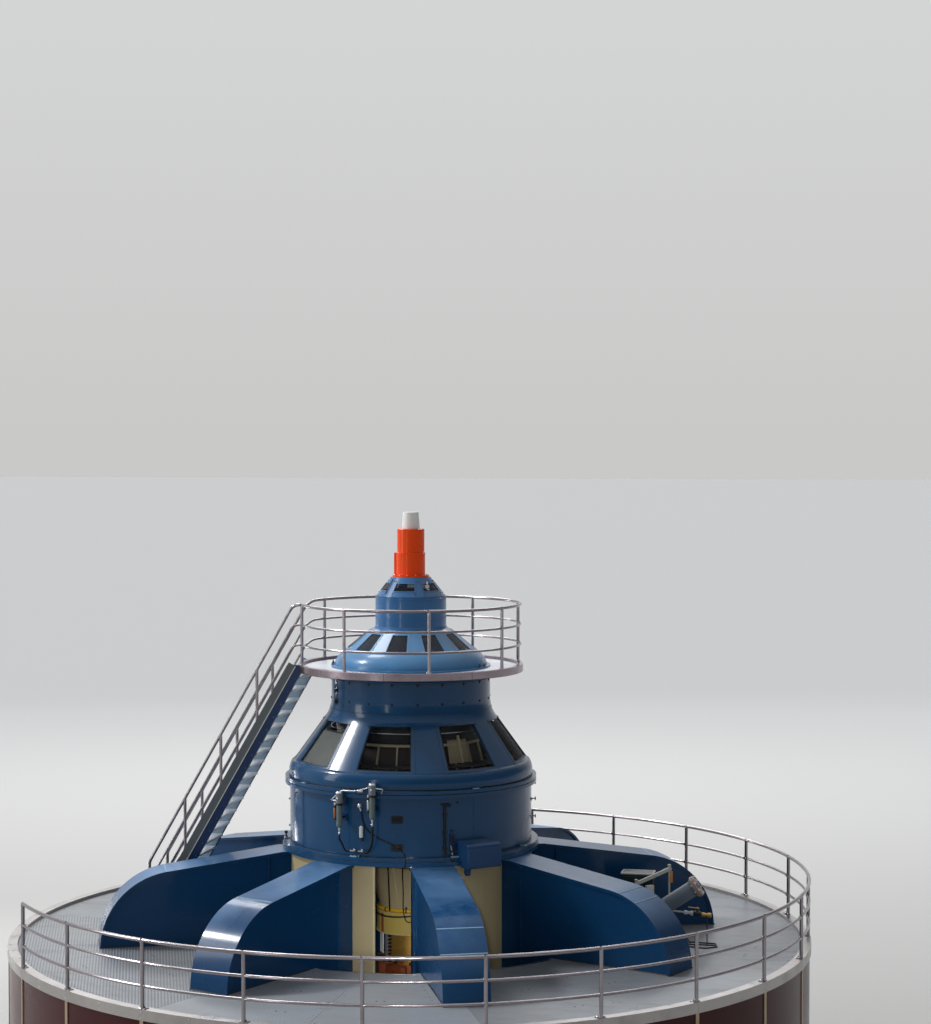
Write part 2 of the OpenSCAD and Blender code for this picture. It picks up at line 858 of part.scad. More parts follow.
// Cap cone, a shell with six windows
module cap_cone() {
    color("#3f688a")
        union() {
            difference() {
                cone_shell(cap_r, cap_top_r, cap_foot_z, cap_end_z, small_cone_t, 0);
                small_windows(cap_windows, cap_window_angle, cap_r, cap_foot_z, cap_end_z, cap_window_edge);
            }
            translate([0, 0, cap_end_z - small_cone_t]) cylinder(r = cap_top_r - 4, h = small_cone_t);
        }
}

// Glass of the cap cone
module cap_glass() {
    color([0.2, 0.24, 0.28, 0.6])
        intersection() {
            cone_shell(cap_r, cap_top_r, cap_foot_z, cap_end_z, glass_t, 8);
            small_windows(cap_windows, cap_window_angle, cap_r, cap_foot_z, cap_end_z, cap_window_edge);
        }
}

// Orange cover, with the box on its left side
module orange_cover() {
    color("#e2521b")
        union() {
            translate([0, 0, cap_end_z]) cylinder(r = cover_flange_r, h = cover_flange_t);
            translate([0, 0, cover_z]) cylinder(r = cover_r, h = cover_low_h);
            translate([0, 0, cover_split_z]) cylinder(r = cover_top_r, h = cover_top_h);
            rotate([0, 0, 165]) translate([0, -75, cover_z]) cube([cover_r + 32, 150, cover_low_h]);
        }
}

// White marker on the cover, tapered
module white_marker() {
    color("#eceae4")
        translate([0, 0, cover_end_z]) cylinder(r1 = marker_r, r2 = marker_r - 18, h = marker_h);
}

// Side view of a stringer, in the plane of the stair
module stringer_face() {
    low = stringer_d / cos(stair_angle) - stringer_up;
    past = stringer_d * 2;
    run = past * [cos(stair_angle), sin(stair_angle)];
    intersection() {
        polygon([
            [nose_x, plat_z + stringer_up] + run,
            [foot_x, deck_z + stringer_up] - run,
            [foot_x, deck_z - low] - run,
            [nose_x, plat_z - low] + run
        ]);
        translate([foot_x - past, deck_z]) square([nose_x - foot_x + 2 * past, plat_z - deck_z]);
    }
}

// One stringer, as a plate in the plane of its rail
module stringer(y, t) {
    translate([0, y + t / 2, 0]) rotate([90, 0, 0]) linear_extrude(t) stringer_face();
}

// The two stringers, from the deck to the platform's edge
module stair_stringers() {
    color("#1f3a5c")
        difference() {
            for (y = [near_y, far_y]) stringer(y, stringer_t);
            translate([0, 0, plat_low_z]) cylinder(r = platform_r, h = platform_t + over);
            translate([0, 0, neck_top_z])
                cylinder(r1 = neck_r + 60, r2 = platform_r - 120, h = platform_cone_h + over);
        }
}

// Treads between the stringers
module stair_treads() {
    color("#aeb3b8")
        for (i = [1 : step_count]) {
            z = plat_z - i * step_rise;
            x = nose_x - i * step_rise / tan(stair_angle);
            translate([x - 20, near_y + stringer_t / 2, z - tread_t])
                cube([tread_d, stair_w - stringer_t, tread_t]);
        }
}

// Outer diameter of a stair rail, by its height
function stair_rail_d(h) = h == rail_h ? rail_d : lower_rail_d;

// Sloping stretch of one stair rail and the bend into the end post, from a point past the top bend
module sloping_rail(y, h, past) {
    end_run = end_post * stair_post_gap;
    translate([nose_x - past * cos(stair_angle), y, plat_z + h - past * sin(stair_angle)])
        mirror([1, 0, 0])
            rotate([0, stair_angle, 0])
                tube_run([[end_run / cos(stair_angle) - past - end_cut, end_turn], [fitting_in + 5, 0]],
                         stair_rail_d(h), rail_bend_r);
}

// The posts of one side, cut to the slope of the stringer that they stand on
module stair_posts(y) {
    for (i = [1 : end_post])
        difference() {
            translate([nose_x - i * stair_post_gap, y, plat_z - i * stair_post_gap * tan(stair_angle)])
                cylinder(d = post_d, h = rail_h - (i == end_post ? end_cut : 0), $fn = pipe_fn);
            stringer(y, stringer_t * 2);
        }
}

// Front side of the stair: each rail leaves the platform's gap post and bends down
module stair_rail_near() {
    bend_cut = rail_bend_r * tan(stair_angle / 2);
    start_x = gap_post_x - post_d / 2 - seat;
    color("#c9ccd2")
        union() {
            for (h = rail_levels) {
                translate([start_x, near_y, plat_z + h])
                    mirror([1, 0, 0])
                        tube_run([[start_x - nose_x - bend_cut, stair_angle], [fitting_in + 5, 0]],
                                 stair_rail_d(h), rail_bend_r);
                sloping_rail(near_y, h, bend_cut);
            }
            stair_posts(near_y);
        }
}

// Rear side of the stair: each rail follows the platform's edge past its last post and sweeps down
module stair_rail_far() {
    post = 180 - arm_turn;
    sweep = 7;
    past = 190;
    s0 = post + sweep;
    start = platform_rail_r * [cos(s0), sin(s0)];
    lead = 150;
    color("#c9ccd2")
        union() {
            for (h = rail_levels) {
                z = plat_z + h;
                e = [nose_x - past * cos(stair_angle), far_y, z - past * sin(stair_angle)];
                p = [
                    [start[0], start[1], z],
                    [start[0] - lead * sin(s0), start[1] + lead * cos(s0), z],
                    e + lead * [cos(stair_angle), 0, sin(stair_angle)],
                    e
                ];
                difference() {
                    translate([0, 0, z])
                        rotate([0, 0, post])
                            rotate_extrude(angle = sweep)
                                translate([platform_rail_r, 0]) circle(d = stair_rail_d(h), $fn = pipe_fn);
                    rotate([0, 0, post])
                        translate([platform_rail_r, 0, plat_z])
                            cylinder(d = post_d + 2 * seat, h = rail_h * 2, $fn = pipe_fn);
                }
                bent_pipe([for (t = [0 : 1 / 6 : 1.01]) curve(p, t)], stair_rail_d(h));
                sloping_rail(far_y, h, past);
            }
            stair_posts(far_y);
        }
}

// Junction box on the main cylinder
module junction_box() {
    color("#274869")
        rotate([0, 0, box_angle])
            difference() {
                translate([body_r - 60, -box_w / 2, arm_z - 20]) cube([box_d + 60, box_w, box_h]);
                cylinder(r = body_r, h = shoulder_z);
                translate([0, 0, arm_z - over]) cylinder(r = foot_flange_r, h = 2 * foot_flange_t + over);
            }
}

// The two air filters: a bowl, a head and a bracket to the main cylinder
module air_filters() {
    head_d = filter_d * 1.3;
    filter_r = shoulder_r + head_d / 2 + 14;
    bracket_w = 50;
    bracket_h = 60;
    color("#7f878c")
        for (a = filter_places)
            rotate([0, 0, a[0]]) {
                translate([filter_r, 0, rim_z + a[1]]) {
                    cylinder(d = filter_d, h = filter_h + over);
                    translate([0, 0, filter_h]) cylinder(d = head_d, h = filter_head_h);
                }
                difference() {
                    translate([body_r - over, -bracket_w / 2, rim_z + a[1] + bracket_w])
                        cube([filter_r - body_r + over, bracket_w, bracket_h]);
                    cylinder(r = body_r, h = shoulder_z);
                }
            }
}

// Pipe that leaves the deck on a flange, bends outwards and ends in a blind flange
module drain_pipe() {
    bend = drain_d * 0.85;
    turn = 90 - drain_slope;
    rise = 70;
    color("#6f7a84")
        translate([drain_r, 0, deck_z]) {
            cylinder(d = drain_d + 2 * drain_foot_lip, h = drain_flange_t);
            rotate([0, -90, 0]) tube_run([[rise, turn], [drain_length, 0]], drain_d, bend);
            translate([bend, 0, rise])
                rotate([0, turn, 0])
                    translate([-bend, 0, drain_length])
                        cylinder(d = drain_d + 2 * drain_end_lip, h = 2 * drain_flange_t);
        }
}

// Control box behind the pipe, on the deck
module control_box() {
    color("#2f4250")
        translate([drum_r - cabinet_back - cabinet_w, drain_d / 2 + cabinet_gap, deck_z])
            cube([cabinet_w, cabinet_d, cabinet_h]);
}

kerb();
drum_panels();
battens();
foot_strip();
rim_band();
stator_frame();
well_floor();
well_edge();
deck_plates();
deck_rail_front();
deck_rail_right();
deck_rail_back();
bracket_arm(1);  // bracket_arm_1
bracket_arm(2);  // bracket_arm_2
bracket_arm(3);  // bracket_arm_3
bracket_arm(4);  // bracket_arm_4
bracket_arm(5);  // bracket_arm_5
bracket_arm(6);  // bracket_arm_6
bracket_arm(7);  // bracket_arm_7
bracket_arm(8);  // bracket_arm_8
collar_wall();
brush_gear();
collector_rings();
ring_shroud();
ring_pipe();
shaft_hood();
foot_flange();
main_cylinder();
shoulder_flange();
window_cone();
cone_glass();
inner_bell();
neck();
platform();
platform_rail();
pilot_base();
pilot_cone();
pilot_glass();
pilot_cylinder();
cap_cone();
cap_glass();
orange_cover();
white_marker();
stair_stringers();
stair_treads();
stair_rail_near();
stair_rail_far();
junction_box();
air_filters();
drain_pipe();
control_box();
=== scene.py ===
import math

import bmesh
import bpy
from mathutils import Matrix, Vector


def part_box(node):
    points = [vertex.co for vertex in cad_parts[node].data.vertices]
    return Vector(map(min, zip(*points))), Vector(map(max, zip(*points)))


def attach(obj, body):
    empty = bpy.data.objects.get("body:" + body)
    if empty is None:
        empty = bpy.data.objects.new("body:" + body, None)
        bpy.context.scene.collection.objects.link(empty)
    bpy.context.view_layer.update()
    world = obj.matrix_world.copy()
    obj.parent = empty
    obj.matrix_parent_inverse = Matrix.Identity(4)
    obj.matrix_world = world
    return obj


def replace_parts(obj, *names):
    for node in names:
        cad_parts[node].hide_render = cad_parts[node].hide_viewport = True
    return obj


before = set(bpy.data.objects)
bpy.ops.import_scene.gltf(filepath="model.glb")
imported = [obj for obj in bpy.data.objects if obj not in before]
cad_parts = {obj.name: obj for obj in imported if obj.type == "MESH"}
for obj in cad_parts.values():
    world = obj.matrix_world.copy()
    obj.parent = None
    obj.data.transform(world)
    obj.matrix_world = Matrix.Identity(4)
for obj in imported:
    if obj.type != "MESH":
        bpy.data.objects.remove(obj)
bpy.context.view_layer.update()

# A vertical-shaft generator on its round drum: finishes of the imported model, and the small parts on it.
# Metres, +Z up. Heights called *_z are above the floor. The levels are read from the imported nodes.


def low(node):
    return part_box(node)[0]


def high(node):
    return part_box(node)[1]


RIM_Z = high("rim_band").z
DECK_Z = high("deck_plates").z
WELL_Z = high("well_floor").z
RIM_R = high("rim_band").x
WALL_R = high("drum_panels").x
WELL_R = high("well_floor").x
ARM_Z = low("foot_flange").z
BODY_Z = low("main_cylinder").z
BODY_R = high("main_cylinder").x
SHOULDER_Z = low("shoulder_flange").z
SHOULDER_R = high("shoulder_flange").x
FOOT_FLANGE_R = high("foot_flange").x
CROWN_Z = high("shoulder_flange").z
CONE_END_Z = high("cone_glass").z
NECK_Z = low("neck").z
NECK_END_Z = high("neck").z
NECK_R = 1.215
PLATFORM_Z = high("platform").z
PLATFORM_R = high("platform").x
PILOT_FLANGE_R = high("pilot_base").x
PILOT_CONE_Z = high("pilot_base").z
PILOT_CONE_END_Z = high("pilot_cone").z
PILOT_R = 0.543
PILOT_END_Z = high("pilot_cylinder").z
CAP_END_Z = high("cap_cone").z
COVER_END_Z = high("orange_cover").z


# Camera, at the photograph's place and angle

CAMERA_PLACE = (8.174, -34.254, 11.202)
CAMERA_YAW = 0.21045
CAMERA_PITCH = -0.03192
FOCAL_PX = 2300.4
LONG_SIDE_PX = 1024
SENSOR_MM = 36.0

camera = bpy.data.objects.new("camera", bpy.data.cameras.new("camera"))
camera.location = CAMERA_PLACE
camera.rotation_euler = (math.pi / 2 + CAMERA_PITCH, 0, CAMERA_YAW)
camera.data.sensor_width = SENSOR_MM
camera.data.lens = FOCAL_PX / LONG_SIDE_PX * SENSOR_MM
camera.data.clip_end = 2000
bpy.context.scene.collection.objects.link(camera)
bpy.context.scene.camera = camera


# Node trees

def linear(hex_colour):
    """A colour written as #rrggbb, as the linear values that a shader takes."""
    parts = [int(hex_colour[i:i + 2], 16) / 255 for i in (1, 3, 5)]
    return tuple(c / 12.92 if c <= 0.04045 else ((c + 0.055) / 1.055) ** 2.4 for c in parts) + (1.0,)


class Graph:
    """Short calls for the nodes of one tree."""

    def __init__(self, tree):
        self.tree = tree

    def node(self, kind, inputs=None, **settings):
        made = self.tree.nodes.new("ShaderNode" + kind)
        for name, value in settings.items():
            setattr(made, name, value)
        for name, value in (inputs or {}).items():
            self.feed(made.inputs[name], value)
        return made

    def feed(self, socket, value):
        if isinstance(value, bpy.types.NodeSocket):
            self.tree.links.new(value, socket)
        else:
            socket.default_value = value

    def math(self, operation, a, b=0.0, clamp=False):
        made = self.node("Math", operation=operation, use_clamp=clamp)
        self.feed(made.inputs[0], a)
        self.feed(made.inputs[1], b)
        return made.outputs[0]

    def mix(self, factor, a, b, blend="MIX"):
        made = self.node("Mix", data_type="RGBA", blend_type=blend)
        self.feed(made.inputs[0], factor)
        self.feed(made.inputs[6], a)
        self.feed(made.inputs[7], b)
        return made.outputs[2]

    def noise(self, place, scale, detail=3.0, roughness=0.55):
        made = self.node("TexNoise", {"Vector": place, "Scale": scale, "Detail": detail, "Roughness": roughness})
        return made.outputs["Fac"]

    def span(self, value, from_low, from_high, to_low=0.0, to_high=1.0):
        made = self.node("MapRange", {"Value": value, "From Min": from_low, "From Max": from_high,
                                      "To Min": to_low, "To Max": to_high})
        return made.outputs[0]

    def place(self):
        """The point on the surface, in the part's own frame."""
        return self.node("TexCoord").outputs["Object"]

    def stretched(self, place, scale):
        return self.node("Mapping", {"Vector": place, "Scale": scale}).outputs[0]


def group(name, inputs, outputs, fill):
    """A shader node group: inputs and outputs are {name: (kind, default)}; fill(graph, inputs) gives the outputs."""
    tree = bpy.data.node_groups.new(name, "ShaderNodeTree")
    for label, (kind, default) in inputs.items():
        socket = tree.interface.new_socket(label, in_out="INPUT", socket_type="NodeSocket" + kind)
        socket.default_value = default
    for label, kind in outputs.items():
        tree.interface.new_socket(label, in_out="OUTPUT", socket_type="NodeSocket" + kind)
    source = tree.nodes.new("NodeGroupInput")
    sink = tree.nodes.new("NodeGroupOutput")
    made = fill(Graph(tree), source.outputs)
    for label, socket in made.items():
        tree.links.new(socket, sink.inputs[label])
    return tree


def settled_dust_and_sheen(g, given):
    """Dust that lies on faces turned upwards, in uneven patches. Given a pale blue, as on the arm paint, the same mask
    is a painted sheen of reflected light on the tops.
    """
    facing = g.node("SeparateXYZ", {"Vector": g.node("NewGeometry").outputs["Normal"]}).outputs["Z"]
    lies = g.span(facing, 0.55, 0.98)
    place = g.place()
    patches = g.span(g.noise(place, given["Scale"], 5.0, 0.62), 0.36, 0.7)
    mask = g.math("MULTIPLY", g.math("MULTIPLY", lies, patches), given["Amount"], clamp=True)
    colour = g.mix(mask, given["Color"], given["Dust And Sheen Color"])
    return {"Color": colour, "Mask": mask}


def worn_and_highlit_edges(g, given):
    """Paint rubbed thin along the edges of a piece. On the orange paint the paler edge colour is a painted highlight
    instead.
    """
    soft = g.node("Bevel", {"Radius": given["Width"]}, samples=4).outputs[0]
    hard = g.node("NewGeometry").outputs["Normal"]
    same = g.node("VectorMath", {0: soft, 1: hard}, operation="DOT_PRODUCT").outputs["Value"]
    edge = g.span(same, 0.985, 0.86)
    broken = g.span(g.noise(g.place(), 11.0, 4.0, 0.7), 0.42, 0.66)
    mask = g.math("MULTIPLY", g.math("MULTIPLY", edge, broken), given["Amount"], clamp=True)
    return {"Color": g.mix(mask, given["Color"], given["Worn And Highlight Color"]), "Mask": mask}


def sprayed_skin(g, given):
    """The fine waviness of sprayed paint, and the large soft shifts of its tone."""
    place = g.place()
    peel = g.noise(place, given["Peel Scale"], 2.0, 0.5)
    tone = g.noise(place, given["Tone Scale"], 3.0, 0.6)
    shade = g.span(tone, 0.3, 0.7, 0.0, 1.0)
    darker = g.node("HueSaturation", {"Color": given["Color"], "Value": 0.82, "Saturation": 1.05}).outputs[0]
    colour = g.mix(g.math("MULTIPLY", shade, given["Tone Amount"]), given["Color"], darker)
    return {"Color": colour, "Height": peel, "Tone": shade}


def drawn_metal(g, given):
    """Fine lines of drawn or brushed metal, along the direction in which Stretch is small."""
    place = g.node("VectorMath", {0: g.place(), 1: given["Stretch"]}, operation="MULTIPLY").outputs[0]
    lines = g.noise(place, 1.0, 3.0, 0.7)
    smudge = g.noise(g.place(), 2.3, 4.0, 0.6)
    rough = g.math("ADD", g.math("MULTIPLY", g.math("SUBTRACT", lines, 0.5), given["Line Amount"]),
                   g.span(smudge, 0.35, 0.7, given["Roughness Low"], given["Roughness High"]))
    return {"Roughness": rough, "Height": lines, "Smudge": smudge}


COLOUR, NUMBER, VECTOR = "Color", "Float", "Vector"
GREY = (0.5, 0.5, 0.5, 1.0)

DUST_AND_SHEEN = group(
    "Dust and sheen on upward faces",
    {"Color": (COLOUR, GREY), "Dust And Sheen Color": (COLOUR, linear("#b9b4a8")), "Amount": (NUMBER, 0.3),
     "Scale": (NUMBER, 1.6)},
    {"Color": COLOUR, "Mask": NUMBER}, settled_dust_and_sheen)
EDGES = group(
    "Worn and highlit edges",
    {"Color": (COLOUR, GREY), "Worn And Highlight Color": (COLOUR, GREY), "Amount": (NUMBER, 0.5), "Width": (NUMBER, 0.01)},
    {"Color": COLOUR, "Mask": NUMBER}, worn_and_highlit_edges)
SKIN = group(
    "Sprayed skin",
    {"Color": (COLOUR, GREY), "Peel Scale": (NUMBER, 60.0), "Tone Scale": (NUMBER, 0.7),
     "Tone Amount": (NUMBER, 0.5)},
    {"Color": COLOUR, "Height": NUMBER, "Tone": NUMBER}, sprayed_skin)
METAL = group(
    "Drawn metal",
    {"Stretch": (VECTOR, (8.0, 8.0, 300.0)), "Line Amount": (NUMBER, 0.2), "Roughness Low": (NUMBER, 0.2),
     "Roughness High": (NUMBER, 0.35)},
    {"Roughness": NUMBER, "Height": NUMBER, "Smudge": NUMBER}, drawn_metal)


def use(g, tree, inputs):
    made = g.tree.nodes.new("ShaderNodeGroup")
    made.node_tree = tree
    for name, value in inputs.items():
        g.feed(made.inputs[name], value)
    return made.outputs


def material(name):
    made = bpy.data.materials.new(name)
    made.use_nodes = True
    made.node_tree.nodes.clear()
    g = Graph(made.node_tree)
    shader = g.node("BsdfPrincipled")
    output = g.node("OutputMaterial")
    made.node_tree.links.new(shader.outputs[0], output.inputs[0])
    return made, g, shader


def bumped(g, shader, height, strength, distance):
    bump = g.node("Bump", {"Height": height, "Strength": strength, "Distance": distance})
    g.feed(shader.inputs["Normal"], bump.outputs[0])


def paint(name, colour, rough=0.3, coat=0.0, edge_wear_and_highlight="#8f9aa3", wear=0.35, dust_and_sheen=0.2, tone=0.5, peel=0.12,
          tone_scale=0.7, shine=0.3, dust_and_sheen_colour="#b9b4a8", dust_and_sheen_scale=1.6):
    """Sprayed machine paint: tone shifts, orange peel, rubbed edges and a pale layer on faces turned up. Dust forms
    that layer, except on the arm paint, where it is a painted sheen; on the orange paint the pale edge colour is a
    painted highlight.
    """
    made, g, shader = material(name)
    skin = use(g, SKIN, {"Color": linear(colour), "Tone Amount": tone, "Tone Scale": tone_scale})
    edges = use(g, EDGES, {"Color": skin["Color"], "Worn And Highlight Color": linear(edge_wear_and_highlight), "Amount": wear, "Width": 0.008})
    upward_layer = use(g, DUST_AND_SHEEN, {"Color": edges["Color"], "Dust And Sheen Color": linear(dust_and_sheen_colour), "Amount": dust_and_sheen,
                          "Scale": dust_and_sheen_scale})
    g.feed(shader.inputs["Base Color"], upward_layer["Color"])
    matt = g.math("MULTIPLY", upward_layer["Mask"], 0.5)
    g.feed(shader.inputs["Roughness"], g.math("ADD", g.span(skin["Tone"], 0, 1, rough, rough + 0.1), matt))
    shader.inputs["Coat Weight"].default_value = coat
    shader.inputs["Coat Roughness"].default_value = 0.1
    shader.inputs["Specular IOR Level"].default_value = shine
    bumped(g, shader, skin["Height"], peel, 0.002)
    return made


def metal(name, colour, stretch=(40.0, 40.0, 40.0), low_rough=0.2, high_rough=0.34, lines=0.2, bump=0.05,
          dirt_and_reflection="#5a5248", dirt_and_reflection_amount=0.25, bare=1.0):
    """Bare metal with smudges, drawn or brushed where stretch differs by direction; bare is less under tarnish. On the
    rail steel the brown smudges and the darkened colour are a painted dark reflection.
    """
    made, g, shader = material(name)
    drawn = use(g, METAL, {"Stretch": stretch, "Line Amount": lines, "Roughness Low": low_rough,
                           "Roughness High": high_rough})
    dull = g.math("MULTIPLY", g.span(drawn["Smudge"], 0.5, 0.75), dirt_and_reflection_amount)
    g.feed(shader.inputs["Base Color"], g.mix(dull, linear(colour), linear(dirt_and_reflection)))
    g.feed(shader.inputs["Roughness"], drawn["Roughness"])
    shader.inputs["Metallic"].default_value = bare
    bumped(g, shader, drawn["Height"], bump, 0.001)
    return made


def deck_paint():
    """Worn grey deck paint: fine ribs on the left plates, a small lozenge pattern on those by the opening."""
    made, g, shader = material("deck_paint")
    place = g.place()
    parts = g.node("SeparateXYZ", {"Vector": place}).outputs
    turn = g.math("ARCTAN2", parts["Y"], parts["X"])
    ribbed = g.math("LESS_THAN", turn, math.radians(-112.5))
    lozenge = g.math("COMPARE", turn, math.radians(-90.0))
    lozenge.node.inputs[2].default_value = math.radians(22.5)
    across = g.node("VectorMath", {0: place, 1: (math.cos(RIB_TURN), math.sin(RIB_TURN), 0)},
                    operation="DOT_PRODUCT").outputs["Value"]
    ribs = g.math("SINE", g.math("MULTIPLY", across, 2 * math.pi / RIB_PITCH))
    one = g.math("SINE", g.math("MULTIPLY", g.math("ADD", parts["X"], parts["Y"]), 2 * math.pi / LOZENGE_PITCH))
    two = g.math("SINE", g.math("MULTIPLY", g.math("SUBTRACT", parts["X"], parts["Y"]), 2 * math.pi / LOZENGE_PITCH))
    crossed = g.math("ADD", g.math("MULTIPLY", one, 0.65), g.math("MULTIPLY", two, 0.45))
    raised = g.math("ADD", g.math("MULTIPLY", ribs, ribbed), g.math("MULTIPLY", crossed, lozenge))
    skin = use(g, SKIN, {"Color": linear("#8b9199"), "Tone Amount": 0.6, "Tone Scale": 0.45})
    streaks = g.noise(g.stretched(place, (0.9, 1.7, 1.0)), 1.0, 6.0, 0.68)
    rubbed = g.mix(g.span(streaks, 0.5, 0.72, 0.0, 0.55), skin["Color"], linear("#50565a"))
    bright = g.mix(g.math("MULTIPLY", lozenge, 0.6), rubbed, linear("#b4bcc6"))
    grooves = g.mix(g.span(raised, 0.3, -0.5, 0.0, 0.75), bright, linear("#454a51"))
    upward_layer = use(g, DUST_AND_SHEEN, {"Color": grooves, "Dust And Sheen Color": linear("#86837a"), "Amount": 0.4, "Scale": 0.9})
    g.feed(shader.inputs["Base Color"], upward_layer["Color"])
    g.feed(shader.inputs["Roughness"], g.span(streaks, 0.3, 0.7, 0.32, 0.5))
    shader.inputs["Specular IOR Level"].default_value = 0.35
    bumped(g, shader, raised, 0.5, 0.0015)
    return made


def glass(name, tint, clear):
    made, _, shader = material(name)
    shader.inputs["Base Color"].default_value = linear(tint)
    shader.inputs["Roughness"].default_value = 0.03
    shader.inputs["Alpha"].default_value = clear
    shader.inputs["Specular IOR Level"].default_value = 0.25
    return made


RIB_PITCH = 0.044
RIB_TURN = math.radians(20)
LOZENGE_PITCH = 0.056

BLUE = paint("blue_paint", "#18456b", rough=0.2, coat=0.28, dust_and_sheen=0.1, shine=0.12)
# On the arm paint the pale blue layer on faces turned up is a painted sheen, the reflected light on the arms' tops.
BLUE_ARM = paint("arm_paint", "#17426a", rough=0.22, coat=0.3, dust_and_sheen=0.62, tone=0.5, shine=0.12, dust_and_sheen_colour="#7ba3cf",
                 dust_and_sheen_scale=0.45)
# Pale blue for the weld beads: a painted highlight along the arms' seams. The flange clamps take the same pale blue.
PALE_BLUE_HIGHLIGHT = paint("seam_highlight_paint", "#86a9c4", rough=0.26, coat=0.3, dust_and_sheen=0.2, shine=0.2)
BLUE_LIGHT = paint("pilot_paint", "#4f86b4", rough=0.22, coat=0.3, dust_and_sheen=0.12, shine=0.25)
BLUE_CAP = paint("cap_paint", "#2f6496", rough=0.22, coat=0.3, dust_and_sheen=0.12, shine=0.2)
BLUE_BOX = paint("box_paint", "#1e4570", rough=0.28, coat=0.15, dust_and_sheen=0.15, shine=0.2)
# Pale blue for the far stringer's inner face: painted light, the lit face between the treads.
STAIR_PAINTED_LIGHT = paint("stair_inner_painted_light", "#8ea3b4", rough=0.4, dust_and_sheen=0.1, tone=0.4)
NAVY = paint("navy_paint", "#0d2c55", rough=0.3, coat=0.1, dust_and_sheen=0.1, shine=0.2)
NECK_DARK = paint("neck_dark", "#0a1828", rough=0.45, dust_and_sheen=0.1, edge_wear_and_highlight="#3c4650")
MAROON = paint("drum_paint", "#3a0e11", rough=0.24, coat=0.06, dust_and_sheen=0.0, tone=0.35, edge_wear_and_highlight="#5c3a35", shine=0.15)
# Near-black behind the window grilles and on the window ledge: painted shade of the dark inside.
WINDOW_PAINTED_SHADE = paint("window_painted_shade", "#14181b", rough=0.6, dust_and_sheen=0.0, edge_wear_and_highlight="#2c3034")
KERB = paint("kerb_paint", "#1a1b1e", rough=0.5, dust_and_sheen=0.4, edge_wear_and_highlight="#55534e")
CREAM = paint("collar_paint", "#ad9f7c", rough=0.42, coat=0.08, dust_and_sheen=0.1, edge_wear_and_highlight="#8d8468")
CREAM_TRIM = paint("trim_paint", "#c6ba94", rough=0.4, dust_and_sheen=0.1, edge_wear_and_highlight="#8d8468")
SHROUD = paint("shroud_paint", "#b9a45a", rough=0.4, dust_and_sheen=0.15, edge_wear_and_highlight="#8c7d45")
BELL = paint("bell_paint", "#b3a684", rough=0.5, dust_and_sheen=0.2, edge_wear_and_highlight="#776f5c")
BELL_LIGHT = paint("bell_strap_paint", "#cdc19f", rough=0.45, dust_and_sheen=0.1, edge_wear_and_highlight="#8f8468")
BELL_DARK = paint("bell_shadow_paint", "#31261f", rough=0.6, dust_and_sheen=0.2, edge_wear_and_highlight="#51453a")
# The orange paint's pale orange edge colour is a painted highlight along the cover's edges.
ORANGE = paint("orange_paint", "#e64604", rough=0.24, coat=0.12, dust_and_sheen=0.0, edge_wear_and_highlight="#f0812c", tone=0.12, shine=0.1)
YELLOW = paint("yellow_paint", "#d0a526", rough=0.4, dust_and_sheen=0.15, edge_wear_and_highlight="#8c7a45")
YELLOW_ORANGE = paint("yellow_orange_paint", "#e08a22", rough=0.4, dust_and_sheen=0.1, edge_wear_and_highlight="#9b7a3a")
GREY = paint("grey_paint", "#6d7478", rough=0.4, dust_and_sheen=0.3, edge_wear_and_highlight="#9fa3a2")
SIDE_GREY = paint("stair_side_grey", "#565c60", rough=0.4, dust_and_sheen=0.1, tone=0.5, edge_wear_and_highlight="#8b8f90")
PIPE_GREY = paint("pipe_grey", "#74808a", rough=0.36, dust_and_sheen=0.25, edge_wear_and_highlight="#a9adaf")
PINK_GREY = paint("flange_primer", "#a08a80", rough=0.45, dust_and_sheen=0.15, edge_wear_and_highlight="#c4b3a8")
FRAME_PALE = paint("frame_grey", "#c3c4bc", rough=0.45, dust_and_sheen=0.15, edge_wear_and_highlight="#8b8c88")
SLAT_GREY = paint("slat_grey", "#5f6b7c", rough=0.4, dust_and_sheen=0.1, edge_wear_and_highlight="#8f979f")
FILTER_GREY = paint("filter_bowl_grey", "#5d6b69", rough=0.32, coat=0.2, dust_and_sheen=0.1, edge_wear_and_highlight="#a5aaa8")
HEAD_GREY = paint("filter_head_grey", "#6f787f", rough=0.32, coat=0.2, dust_and_sheen=0.1, edge_wear_and_highlight="#b9bcbd")
GRILLE = paint("grille_grey", "#8b918d", rough=0.5, dust_and_sheen=0.1, edge_wear_and_highlight="#a8adab")
DARK = paint("dark_green_paint", "#22343a", rough=0.38, dust_and_sheen=0.2, edge_wear_and_highlight="#6c7472")
BLACK = paint("black_plastic", "#141518", rough=0.42, dust_and_sheen=0.2, edge_wear_and_highlight="#3a3b3d", wear=0.2)
RUBBER = paint("black_rubber", "#101113", rough=0.55, dust_and_sheen=0.15, edge_wear_and_highlight="#2c2d2e", wear=0.1)
DARK_STEEL = paint("dark_steel", "#33373c", rough=0.5, dust_and_sheen=0.4)
WHITE = paint("white_plastic", "#dcdcd9", rough=0.35, dust_and_sheen=0.0, edge_wear_and_highlight="#cfccc2", tone=0.12)
CABLE_WHITE = paint("white_cable", "#b5b6b2", rough=0.45, dust_and_sheen=0.1, edge_wear_and_highlight="#a5a6a2")
